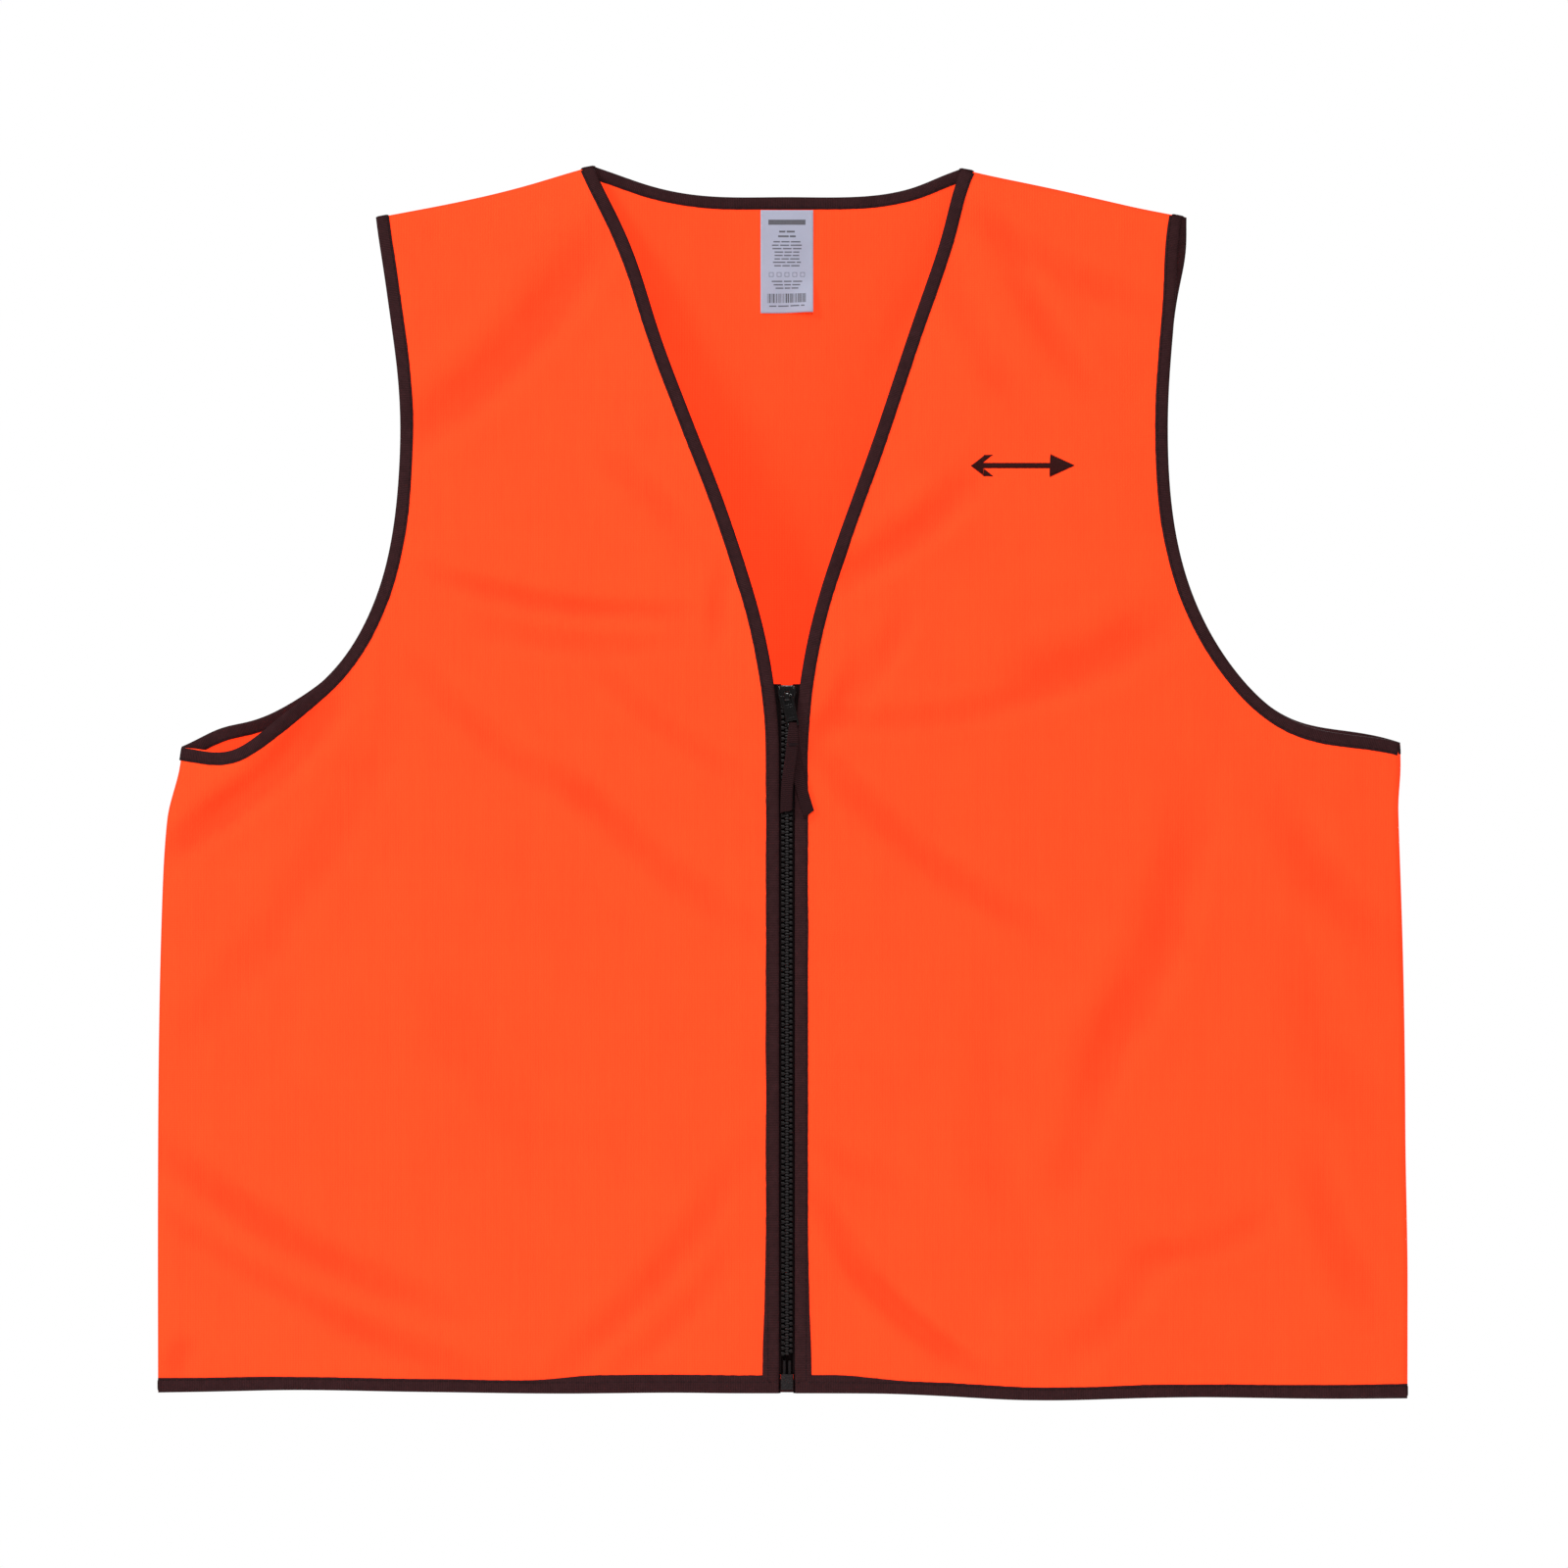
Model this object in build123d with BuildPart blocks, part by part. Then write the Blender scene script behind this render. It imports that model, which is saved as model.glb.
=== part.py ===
"""Zip-front safety vest, hung from its neck as on a hanger.

Millimetres. X runs across the vest (+X is the wearer's left), Y from front to back
and Z up. The origin is the hanging point, midway between the two neck points.
The front and the back are thin fabric shells that bow apart like a lens. A moulded
zip closes the front, and every cut edge is wrapped in a folded binding.
"""

from build123d import *
import os
from math import cos, pi, radians, sin

os.makedirs("parts", exist_ok=True)

# --- driving dimensions of the garment -----------------------------------------
HALF_WIDTH = 318.0        # half the width at the hem
LENGTH = 626.0            # neck points to hem
FRONT_FULLNESS = 22.0     # how far the front bows forward at the centre
BACK_FULLNESS = 16.0      # how far the back bows backward at the centre
LAYER_GAP = 1.0           # each layer's middle stands this far from Y = 0 at a seam
CLOSING_HEIGHT = 235.0    # height over which the fullness closes to the shoulder
SHOULDER_DROP = 26.0      # neck point to shoulder tip
NECK_X = 96.0             # half the distance between the neck points
SHOULDER_X = 207.0        # centre line to shoulder tip
FABRIC_HALF = 0.4         # half the knit's thickness
BINDING_LEAF = 0.5        # thickness of one leaf of the binding
BINDING_WIDTH = 6.35      # quarter-inch binding of the armholes and the hem
NECK_BINDING_WIDTH = 5.7  # binding of the neck and the front edges
SEAM_WIDTH = 6.0          # seam allowance
SEAM_HALF = 0.55          # half the thickness of a seam allowance
REACH = 60.0              # reach of the cutting prisms in Y

# --- driving dimensions of the zip ----------------------------------------------
ZIP_TOP = -264.5
ZIP_EDGE_X = 4.2          # centre line to the bound front edge
TOOTH_PITCH = 2.8
TEETH_TOP = -271.5
TEETH_PER_SIDE = 120
PIN_TOP = -609.6
BOX_TOP = -616.5
SLIDER_TOP = -265.0
SLIDER_LENGTH = 12.0
TAB_AXIS_Z = -270.8
TAB_TILT = 12.0           # the tab hangs a little askew, in degrees
RIBBON_TIP_Z = -331.5

FRONT_Y = -(LAYER_GAP + FRONT_FULLNESS)    # middle of the front along the zip
CHAIN_Y = FRONT_Y + 0.4                    # middle of the zip chain
BINDING_HALF = FABRIC_HALF + BINDING_LEAF
HEM_TOP = BINDING_WIDTH - LENGTH


def mirrored(points, side):
    return [(side * x, z) for x, z in points]


# --- outlines of the half towards +X, in the XZ plane -----------------------------------
FRONT_EDGE = [
    (NECK_X, 0),
    (74, -55),
    (45, -140),
    (26.5, -190),
    (12.5, -235),
    (7, -264),
    (ZIP_EDGE_X, -300),
    (ZIP_EDGE_X, -315),
]
BACK_NECK = [(0, -15.5), (50, -14), (70, -9.5), (85, -4), (NECK_X, 0)]
ACROSS_NECK = mirrored(BACK_NECK, -1)[:0:-1] + BACK_NECK
SHOULDER_MIDDLE = (150, -14)
UNDERARM = (313, -297)
FLANK = [(315, -350), (317, -415), (HALF_WIDTH, -500)]
FRONT_DROP = {1: 1.0, -1: 9.0}    # the front's underarm gapes on the wearer's right
BACK_DROP = -1.0


def armhole_edge(drop):
    """Armhole from the shoulder tip to the underarm. drop lowers the underarm stretch."""
    return [
        (SHOULDER_X, -SHOULDER_DROP),
        (198.5, -90),
        (197, -150),
        (207, -215),
        (230, -257),
        (262, -281 - 0.5 * drop),
        (290, -290 - 0.9 * drop),
        UNDERARM,
    ]


# --- the two curved layers -----------------------------------------------------------
STATIONS = [-322, -262, -207, -150, -96, -48, 0, 48, 96, 150, 207, 262, 322]


def crown_height(x):
    """Height at which front and back meet."""
    slope = SHOULDER_DROP / (SHOULDER_X - NECK_X)
    return 4.0 - slope * max(0.0, abs(x) - NECK_X)


def layer_y(layer, x, z):
    """Middle of the front layer (-1) or the back layer (1)."""
    depth = FRONT_FULLNESS if layer < 0 else BACK_FULLNESS
    across = 1.0 - (x / HALF_WIDTH) ** 2
    down = min(1.0, max(0.0, (crown_height(x) - z) / CLOSING_HEIGHT))
    return layer * (LAYER_GAP + depth * across * sin(down * pi / 2))


def shell(layer, inner, outer):
    """Curved sheet of one layer, between two distances from its middle, outward positive."""
    with BuildPart() as sheet:
        for x in STATIONS:
            top = crown_height(x)
            heights = [top - CLOSING_HEIGHT * k / 4 for k in range(5)]
            with BuildSketch(Plane((x, 0, 0), x_dir=(0, 1, 0), z_dir=(1, 0, 0))):
                with BuildLine():
                    ends = []
                    for stand in (inner, outer):
                        path = [(layer_y(layer, x, z) + layer * stand, z) for z in heights]
                        foot = (path[-1][0], -LENGTH - 10)
                        Spline(*path)
                        Line(path[-1], foot)
                        ends.append((path[0], foot))
                    Line(ends[0][0], ends[1][0])
                    Line(ends[0][1], ends[1][1])
                make_face()
        loft()
    return sheet.part


# --- prisms that cut the layers ---------------------------------------------------------
INSET_POINTS = 14
EDGE_SLACK = 0.1    # the fabric's cut edge stops this short of the fold of its binding


def inset(points, distance, left):
    """Points beside the smooth line through points, at a distance to its left or right."""
    with BuildLine(mode=Mode.PRIVATE) as line:
        edge = ThreePointArc(*points) if len(points) == 3 else Spline(*points)
    turn = 1 if left else -1
    beside = []
    for k in range(INSET_POINTS + 1):
        spot = edge @ (k / INSET_POINTS)
        ahead = edge % (k / INSET_POINTS)
        beside.append((spot.X - turn * distance * ahead.Y, spot.Y + turn * distance * ahead.X))
    return beside


def strip(points, start, stop, left):
    """Prism of a strip beside a line, between two distances from it."""
    near = inset(points, start, left)
    far = inset(points, stop, left)
    with BuildPart() as prism:
        with BuildSketch(Plane.XZ):
            with BuildLine():
                Spline(*near)
                Line(near[-1], far[-1])
                Spline(*far)
                Line(far[0], near[0])
            make_face()
        extrude(amount=REACH, both=True)
    return prism.part


def block(x_range, z_range, y_range=(-REACH, REACH)):
    """Box between the given limits."""
    limits = (x_range, y_range, z_range)
    middle = [(low + high) / 2 for low, high in limits]
    with BuildPart() as box:
        with Locations(tuple(middle)):
            Box(*[high - low for low, high in limits])
    return box.part


def half_outline(neck, armhole, foot_x, side):
    """Prism of one half of the front or of the back, between its neck and armhole edges."""
    foot_z = BINDING_LEAF + EDGE_SLACK - LENGTH
    corner = (side * HALF_WIDTH, foot_z)
    flank = mirrored(FLANK, side)
    with BuildPart() as prism:
        with BuildSketch(Plane.XZ):
            with BuildLine():
                Spline(*neck)
                Line(neck[-1], (side * foot_x, foot_z))
                Line((side * foot_x, foot_z), corner)
                Line(corner, flank[-1])
                Spline(armhole[-1], *flank)
                Spline(*armhole)
                ThreePointArc(armhole[0], (side * SHOULDER_MIDDLE[0], SHOULDER_MIDDLE[1]), neck[0])
            make_face()
        extrude(amount=REACH, both=True)
    return prism.part


def write(builder, name):
    builder.part.label = name
    export_step(builder.part, f"parts/{name}.step")


front_cloth = shell(-1, -FABRIC_HALF, FABRIC_HALF)
back_cloth = shell(1, -FABRIC_HALF, FABRIC_HALF)
front_wrap = shell(-1, -BINDING_HALF, BINDING_HALF)
back_wrap = shell(1, -BINDING_HALF, BINDING_HALF)
NAMES = {1: "left", -1: "right"}    # the wearer's sides
CUT = BINDING_LEAF + EDGE_SLACK     # how far inside its binding's fold the fabric ends


def folded(wrap, cloth, line, width, left):
    """A binding folded over an edge: the thick strip less the fabric that it holds."""
    with BuildPart() as binding:
        add(wrap)
        add(strip(line, 0, width, left), mode=Mode.INTERSECT)
        with BuildPart(mode=Mode.PRIVATE) as held:
            add(cloth)
            add(strip(line, BINDING_LEAF, width + 1, left), mode=Mode.INTERSECT)
        add(held.part, mode=Mode.SUBTRACT)
    return binding.part


# --- back panel, in one piece -----------------------------------------------------------
with BuildPart() as back_panel:
    add(back_cloth)
    with BuildPart(mode=Mode.PRIVATE) as back_outline:
        neck_line = inset(ACROSS_NECK, CUT, left=False)
        centre = INSET_POINTS // 2
        halves = {1: neck_line[centre:][::-1], -1: neck_line[:centre + 1]}
        for side in (1, -1):
            armhole = inset(mirrored(armhole_edge(BACK_DROP), side), CUT, left=side < 0)
            add(half_outline(halves[side], armhole, 0, side))
    add(back_outline.part, mode=Mode.INTERSECT)
write(back_panel, "back_panel")

# --- front panels ------------------------------------------------------------------------
for side in (1, -1):
    neck = inset(mirrored(FRONT_EDGE, side), CUT, left=side > 0)
    armhole = inset(mirrored(armhole_edge(FRONT_DROP[side]), side), CUT, left=side < 0)
    with BuildPart() as front_panel:
        add(front_cloth)
        add(half_outline(neck, armhole, ZIP_EDGE_X + CUT, side), mode=Mode.INTERSECT)
    write(front_panel, f"front_panel_{NAMES[side]}")

# --- armhole bindings: a folded strip round each armhole, front and back stretches ----------
for side in (1, -1):
    with BuildPart() as armhole_binding:
        for wrap, cloth, drop in (
            (front_wrap, front_cloth, FRONT_DROP[side]),
            (back_wrap, back_cloth, BACK_DROP),
        ):
            edge = mirrored(armhole_edge(drop), side)
            add(folded(wrap, cloth, edge, BINDING_WIDTH, left=side < 0))
    write(armhole_binding, f"armhole_binding_{NAMES[side]}")

# --- neck binding: the V and the back of the neck, in one strip ---------------------------
above_zip = block((-HALF_WIDTH, HALF_WIDTH), (ZIP_TOP, LENGTH))
with BuildPart() as neck_binding:
    for side in (1, -1):
        edge = mirrored(FRONT_EDGE, side)
        add(folded(front_wrap, front_cloth, edge, NECK_BINDING_WIDTH, left=side > 0) & above_zip)
    add(folded(back_wrap, back_cloth, ACROSS_NECK, NECK_BINDING_WIDTH, left=False))
write(neck_binding, "neck_binding")

# --- hem binding: from one front edge round the back to the other ---------------------------
JOINER = 1.3    # reach in Y of the short pieces that close the hem binding at the sides
with BuildPart() as hem_binding:
    for wrap, cloth, x_ranges in (
        (front_wrap, front_cloth, ((-HALF_WIDTH, -ZIP_EDGE_X), (ZIP_EDGE_X, HALF_WIDTH))),
        (back_wrap, back_cloth, ((-HALF_WIDTH, HALF_WIDTH),)),
    ):
        for x_range in x_ranges:
            with BuildPart(mode=Mode.PRIVATE) as stretch:
                add(wrap)
                add(block(x_range, (-LENGTH, HEM_TOP)), mode=Mode.INTERSECT)
                with BuildPart(mode=Mode.PRIVATE) as held:
                    add(cloth)
                    wider = (x_range[0] - 1, x_range[1] + 1)
                    add(block(wider, (BINDING_LEAF - LENGTH, HEM_TOP + 1)), mode=Mode.INTERSECT)
                add(held.part, mode=Mode.SUBTRACT)
            add(stretch.part)
    for side in (1, -1):
        end = sorted((side * (HALF_WIDTH - 1.6), side * HALF_WIDTH))
        add(block(end, (-LENGTH, BINDING_LEAF - LENGTH), (-JOINER, JOINER)))
write(hem_binding, "hem_binding")

# --- front edge bindings beside the zip --------------------------------------------------
beside_zip = block((-HALF_WIDTH, HALF_WIDTH), (HEM_TOP, ZIP_TOP))
for side in (1, -1):
    straight = [(ZIP_EDGE_X, z) for z in (FRONT_EDGE[-1][1] + 0.5, -400, -500, -LENGTH)]
    with BuildPart() as front_binding:
        for line in (FRONT_EDGE, straight):
            edge = mirrored(line, side)
            add(folded(front_wrap, front_cloth, edge, NECK_BINDING_WIDTH, left=side > 0) & beside_zip)
    write(front_binding, f"front_binding_{NAMES[side]}")

# --- seam allowances, folded inside between the layers ----------------------------------
for side in (1, -1):
    shoulder_line = mirrored(
        [(NECK_X + 8, -2.8), (SHOULDER_MIDDLE[0], SHOULDER_MIDDLE[1] - 1), (SHOULDER_X - 8, -24.8)], side
    )
    with BuildPart() as shoulder_seam:
        add(strip(shoulder_line, 0, SEAM_WIDTH, left=side < 0))
        add(block((-HALF_WIDTH, HALF_WIDTH), (-LENGTH, 0), (-SEAM_HALF, SEAM_HALF)), mode=Mode.INTERSECT)
    write(shoulder_seam, f"shoulder_seam_{NAMES[side]}")

    seam_x = [
        side * (UNDERARM[0] - 2),
        side * (FLANK[0][0] - 1.5),
        side * (HALF_WIDTH - 1),
        side * (HALF_WIDTH - 1),
    ]
    seam_z = [UNDERARM[1] - 12, FLANK[0][1], -500, HEM_TOP + 0.3]
    outer_edge = list(zip(seam_x, seam_z))
    inner_edge = [(x - side * SEAM_WIDTH, z) for x, z in outer_edge[::-1]]
    with BuildPart() as side_seam:
        with BuildSketch(Plane.XZ):
            with BuildLine():
                Polyline(*outer_edge, *inner_edge, close=True)
            make_face()
        extrude(amount=SEAM_HALF, both=True)
    write(side_seam, f"side_seam_{NAMES[side]}")

# --- zip tapes: flat beside the teeth, then stepping behind the bound edge -----------------
TAPE_OUTER_X = 15.0
TAPE_FRONT = 1.0    # distance of the tape's front face behind the middle of the panel
TAPE_PROFILE = [
    (2.9, 0.15),
    (3.3, 0.15),
    (4.1, TAPE_FRONT),
    (TAPE_OUTER_X, TAPE_FRONT),
    (TAPE_OUTER_X, TAPE_FRONT + 0.5),
    (3.9, TAPE_FRONT + 0.5),
    (3.1, 0.65),
    (2.9, 0.65),
]
TAPE_FOOT = -LENGTH + 1
for side in (1, -1):
    with BuildPart() as zip_tape:
        with BuildSketch(Plane.XY.offset(TAPE_FOOT)):
            with BuildLine():
                Polyline(*[(side * x, FRONT_Y + y) for x, y in TAPE_PROFILE], close=True)
            make_face()
        extrude(amount=ZIP_TOP - TAPE_FOOT)
        add(block((-3.4, 3.4), (-LENGTH, BOX_TOP + 0.5)), mode=Mode.SUBTRACT)
    write(zip_tape, f"zip_tape_{NAMES[side]}")

    film_x = sorted((side * 5.0, side * (TAPE_OUTER_X - 1)))
    with BuildPart() as tape_film:
        film_y = (FRONT_Y + TAPE_FRONT + 0.52, FRONT_Y + TAPE_FRONT + 0.82)
        add(block(film_x, (TAPE_FOOT + 0.5, -600), film_y))
    write(tape_film, f"tape_film_{NAMES[side]}")

# --- moulded teeth: a base on the tape's edge, a neck and a wider head ----------------------
BASE_OUTER_X = 2.85
BASE_INNER_X = 1.5
NECK_INNER_X = 0.6
HEAD_TIP_X = -1.1
BASE_HALF = 0.95
NECK_HALF = 0.4
HEAD_HALF = 0.64
TOOTH_DEPTH = 2.5


def tooth_profile(side):
    """Outline of one tooth about its own middle height."""
    shape = [
        (BASE_OUTER_X, BASE_HALF),
        (BASE_INNER_X, BASE_HALF),
        (BASE_INNER_X - 0.3, NECK_HALF),
        (NECK_INNER_X, NECK_HALF),
        (NECK_INNER_X - 0.4, HEAD_HALF),
        (HEAD_TIP_X + 0.4, HEAD_HALF),
        (HEAD_TIP_X, 0.3),
    ]
    upper = mirrored(shape, side)
    lower = [(x, -z) for x, z in upper[::-1]]
    return upper + lower


for side in (1, -1):
    first_z = TEETH_TOP - (TOOTH_PITCH / 2 if side < 0 else 0)
    spots = [(0, first_z - k * TOOTH_PITCH) for k in range(TEETH_PER_SIDE)]
    with BuildPart() as zip_teeth:
        with BuildSketch(Plane.XZ.offset(-CHAIN_Y)):
            with Locations(*spots):
                Polygon(*tooth_profile(side), align=None)
        extrude(amount=TOOTH_DEPTH / 2, both=True)
    write(zip_teeth, f"zip_teeth_{NAMES[side]}")

    stop_x = sorted((side * 2.0, side * 3.9))
    with BuildPart() as top_stop:
        add(block(stop_x, (-270.2, -266.4), (CHAIN_Y - 1.3, CHAIN_Y - 0.26)))
        fillet(top_stop.edges().filter_by(Axis.Y), 0.4)
    write(top_stop, f"top_stop_{NAMES[side]}")

# --- bottom fittings: box, its own pin, and the pin that goes into it ------------------------
BOX_HALF_X = 3.2
BOX_HALF_Y = 1.7
BOX_HEIGHT = 8.0
PIN_HALF_X = 0.75
PIN_X = 1.35
PIN_HALF_Y = 0.8
SOCKET_DEPTH = 6.0
PIN_SLACK = 0.06

with BuildPart() as retainer_box:
    with BuildSketch(Plane.XY.offset(BOX_TOP - BOX_HEIGHT)):
        with Locations((0, CHAIN_Y)):
            RectangleRounded(2 * BOX_HALF_X, 2 * BOX_HALF_Y, 0.6)
    extrude(amount=BOX_HEIGHT)
    with BuildSketch(Plane.XY.offset(BOX_TOP - SOCKET_DEPTH)):
        with Locations((PIN_X, CHAIN_Y), (-PIN_X, CHAIN_Y)):
            Rectangle(2 * (PIN_HALF_X + PIN_SLACK), 2 * (PIN_HALF_Y + PIN_SLACK))
    extrude(amount=SOCKET_DEPTH, mode=Mode.SUBTRACT)
write(retainer_box, "retainer_box")

for side, name in ((1, "insertion_pin"), (-1, "retainer_pin")):
    pin_foot = BOX_TOP - SOCKET_DEPTH + 0.3
    with BuildPart() as pin:
        with BuildSketch(Plane.XY.offset(pin_foot)):
            with Locations((side * PIN_X, CHAIN_Y)):
                RectangleRounded(2 * PIN_HALF_X, 2 * PIN_HALF_Y, 0.3)
        extrude(amount=PIN_TOP - pin_foot)
        chamfer(pin.faces().sort_by(Axis.Z)[0].edges(), 0.25)
    write(pin, name)

# --- slider: two plates joined by a wedge that parts the teeth, and a crown for the tab -------
PLATE_GAP_HALF = 1.6
FRONT_PLATE = 1.2
BACK_PLATE = 1.1
PLATE_SHAPE = [(2.4, 0), (4.3, -0.5), (4.75, -2.6), (4.5, -5.5), (3.5, -8.8), (3.2, -SLIDER_LENGTH)]
CROWN_HALF_X = 1.3
CROWN_HALF_Z = 2.5
CROWN_RISE = 2.8
TUNNEL_HALF_Z = 1.15
plate_front_y = CHAIN_Y - PLATE_GAP_HALF - FRONT_PLATE
TAB_AXIS_Y = plate_front_y - 0.95

with BuildPart() as slider_body:
    for face_y, thickness in (
        (CHAIN_Y - PLATE_GAP_HALF, FRONT_PLATE),
        (CHAIN_Y + PLATE_GAP_HALF + BACK_PLATE, BACK_PLATE),
    ):
        with BuildSketch(Plane.XZ.offset(-face_y)):
            right = [(x, SLIDER_TOP + z) for x, z in PLATE_SHAPE]
            Polygon(*right, *mirrored(right[::-1], -1), align=None)
        extrude(amount=thickness)
    fillet(slider_body.edges().filter_by(Axis.Y), 0.6)
    with BuildSketch(Plane.XZ.offset(-(CHAIN_Y + PLATE_GAP_HALF))):
        Polygon((1.2, -266.6), (0, -265.5), (-1.2, -266.6), (0, -270.0), align=None)
    extrude(amount=2 * PLATE_GAP_HALF)
    with BuildSketch(Plane.YZ.offset(-CROWN_HALF_X)):
        with Locations((plate_front_y - CROWN_RISE / 2 + 0.1, TAB_AXIS_Z)):
            Rectangle(CROWN_RISE + 0.2, 2 * CROWN_HALF_Z)
    extrude(amount=2 * CROWN_HALF_X)
    with BuildSketch(Plane.YZ.offset(-CROWN_HALF_X)):
        with Locations((TAB_AXIS_Y, TAB_AXIS_Z)):
            Rectangle(1.9, 2 * TUNNEL_HALF_Z)
    extrude(amount=2 * CROWN_HALF_X, mode=Mode.SUBTRACT)
    crown_top = plate_front_y - CROWN_RISE
    across = slider_body.edges().filter_by(Axis.X)
    crown_corners = across.filter_by_position(Axis.Y, crown_top - 0.01, crown_top + 0.01)
    fillet(crown_corners, 0.9)
write(slider_body, "slider_body")

# --- pull tab: a bar under the crown, a window around the crown and a slot for the ribbon ------
TAB_HALF_X = 3.1
TAB_THICK = 1.3
TAB_BAR = 0.65         # radius of the round bar, the only part of the tab inside the crown
TAB_RIM = 0.1
WINDOW_HALF_X = 1.95
WINDOW_END = 4.4
SLOT_TOP = 12.4
SLOT_END = 14.5
SLOT_HALF_X = 2.45
TAB_END = 15.5
RIBBON_AXIS = 15.0    # distance of the tab's lower bar from its upper bar

tab_plane = Plane((0, TAB_AXIS_Y, TAB_AXIS_Z), x_dir=(1, 0, 0), z_dir=(0, -1, 0)).rotated((0, -TAB_TILT, 0))
with BuildPart() as pull_tab:
    with BuildSketch(tab_plane):
        with Locations((0, -TAB_END / 2)):
            RectangleRounded(2 * TAB_HALF_X, TAB_END + 2 * TAB_RIM, 0.5)
        with Locations((0, -WINDOW_END / 2)):
            Rectangle(2 * WINDOW_HALF_X, WINDOW_END + 2 * TAB_RIM, mode=Mode.SUBTRACT)
        with Locations((0, -(SLOT_TOP + SLOT_END) / 2)):
            RectangleRounded(2 * SLOT_HALF_X, SLOT_END - SLOT_TOP, 0.3, mode=Mode.SUBTRACT)
    extrude(amount=TAB_THICK / 2, both=True)
    with Locations(tab_plane):
        Cylinder(TAB_BAR, 2 * TAB_HALF_X, rotation=(0, 90, 0))
write(pull_tab, "pull_tab")

# --- pull ribbon: folded through the tab's slot, its two tails spread apart -------------------
RIBBON_THICK = 0.4
LOOP_RADIUS = 1.1
LOOP_HALF_X = 2.0
ribbon_x = RIBBON_AXIS * sin(radians(TAB_TILT))
RIBBON_AXIS_Z = TAB_AXIS_Z - RIBBON_AXIS * cos(radians(TAB_TILT))
LOOP_FOOT = RIBBON_AXIS_Z - 2.0
NEAR_Y = TAB_AXIS_Y - 0.75    # where the front leaf meets the back one
JOIN_Z = RIBBON_AXIS_Z - 8.0

with BuildPart() as loop:
    with BuildSketch(Plane.YZ.offset(ribbon_x - LOOP_HALF_X)):
        with Locations((TAB_AXIS_Y, RIBBON_AXIS_Z)):
            Circle(LOOP_RADIUS + RIBBON_THICK)
            with Locations((0, -1.1)):
                Rectangle(2 * (LOOP_RADIUS + RIBBON_THICK), 2.2)
            Circle(LOOP_RADIUS, mode=Mode.SUBTRACT)
            with Locations((0, -1.1)):
                Rectangle(2 * LOOP_RADIUS, 2.21, mode=Mode.SUBTRACT)
    extrude(amount=2 * LOOP_HALF_X)


def tail(profile, shape):
    """One tail of the ribbon: a bent strip seen from the side, cut to its shape from the front."""
    with BuildPart() as leaf:
        with BuildSketch(Plane.YZ.offset(-10)):
            Polygon(*profile, align=None)
        extrude(amount=30)
        with BuildSketch(Plane.XZ):
            Polygon(*shape, align=None)
        extrude(amount=REACH, both=True, mode=Mode.INTERSECT)
    return leaf.part


front_face = TAB_AXIS_Y - LOOP_RADIUS - RIBBON_THICK
back_face = TAB_AXIS_Y + LOOP_RADIUS
front_profile = [
    (front_face, LOOP_FOOT + 0.3),
    (front_face, LOOP_FOOT),
    (NEAR_Y - RIBBON_THICK, JOIN_Z),
    (NEAR_Y - RIBBON_THICK, RIBBON_TIP_Z - 2),
    (NEAR_Y, RIBBON_TIP_Z - 2),
    (NEAR_Y, JOIN_Z),
    (front_face + RIBBON_THICK, LOOP_FOOT),
    (front_face + RIBBON_THICK, LOOP_FOOT + 0.3),
]
back_profile = [
    (back_face, LOOP_FOOT + 0.3),
    (back_face, RIBBON_TIP_Z - 2),
    (back_face + RIBBON_THICK, RIBBON_TIP_Z - 2),
    (back_face + RIBBON_THICK, LOOP_FOOT + 0.3),
]
neck_shape = [(ribbon_x + 2, LOOP_FOOT + 0.3), (ribbon_x - 2, LOOP_FOOT + 0.3), (ribbon_x - 3, LOOP_FOOT - 2.5)]
front_shape = neck_shape + [(-3.5, -328.5), (2.6, RIBBON_TIP_Z + 1.2), (ribbon_x + 3, LOOP_FOOT - 2.5)]
back_shape = neck_shape + [
    (0.6, JOIN_Z),
    (8.4, RIBBON_TIP_Z - 1.3),
    (14.2, RIBBON_TIP_Z + 1.6),
    (ribbon_x + 3.4, JOIN_Z),
]
with BuildPart() as pull_ribbon:
    add(loop.part)
    add(tail(front_profile, front_shape))
    add(tail(back_profile, [*back_shape, (ribbon_x + 3, LOOP_FOOT - 2.5)]))
write(pull_ribbon, "pull_ribbon")

with BuildPart() as ribbon_bartack:
    tack_z = -295.5
    tack_x = ribbon_x + 0.2
    add(block((tack_x - 2.6, tack_x + 2.6), (tack_z - 0.7, tack_z + 0.7), (NEAR_Y + 0.02, back_face - 0.02)))
write(ribbon_bartack, "ribbon_bartack")

# --- care label, sewn under the back neck binding ----------------------------------------
LABEL_TOP = (2.6, -21.9)
LABEL_FOOT = (7.9, -74.5)
LABEL_WIDTH = 27.0
LABEL_THICK = 0.3
with BuildPart() as care_label:
    with BuildSketch(Plane.YZ.offset(-LABEL_WIDTH / 2)):
        Polygon(
            LABEL_TOP,
            LABEL_FOOT,
            (LABEL_FOOT[0] - LABEL_THICK, LABEL_FOOT[1]),
            (LABEL_TOP[0] - LABEL_THICK, LABEL_TOP[1]),
            align=None,
        )
    extrude(amount=LABEL_WIDTH)
write(care_label, "care_label")

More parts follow.
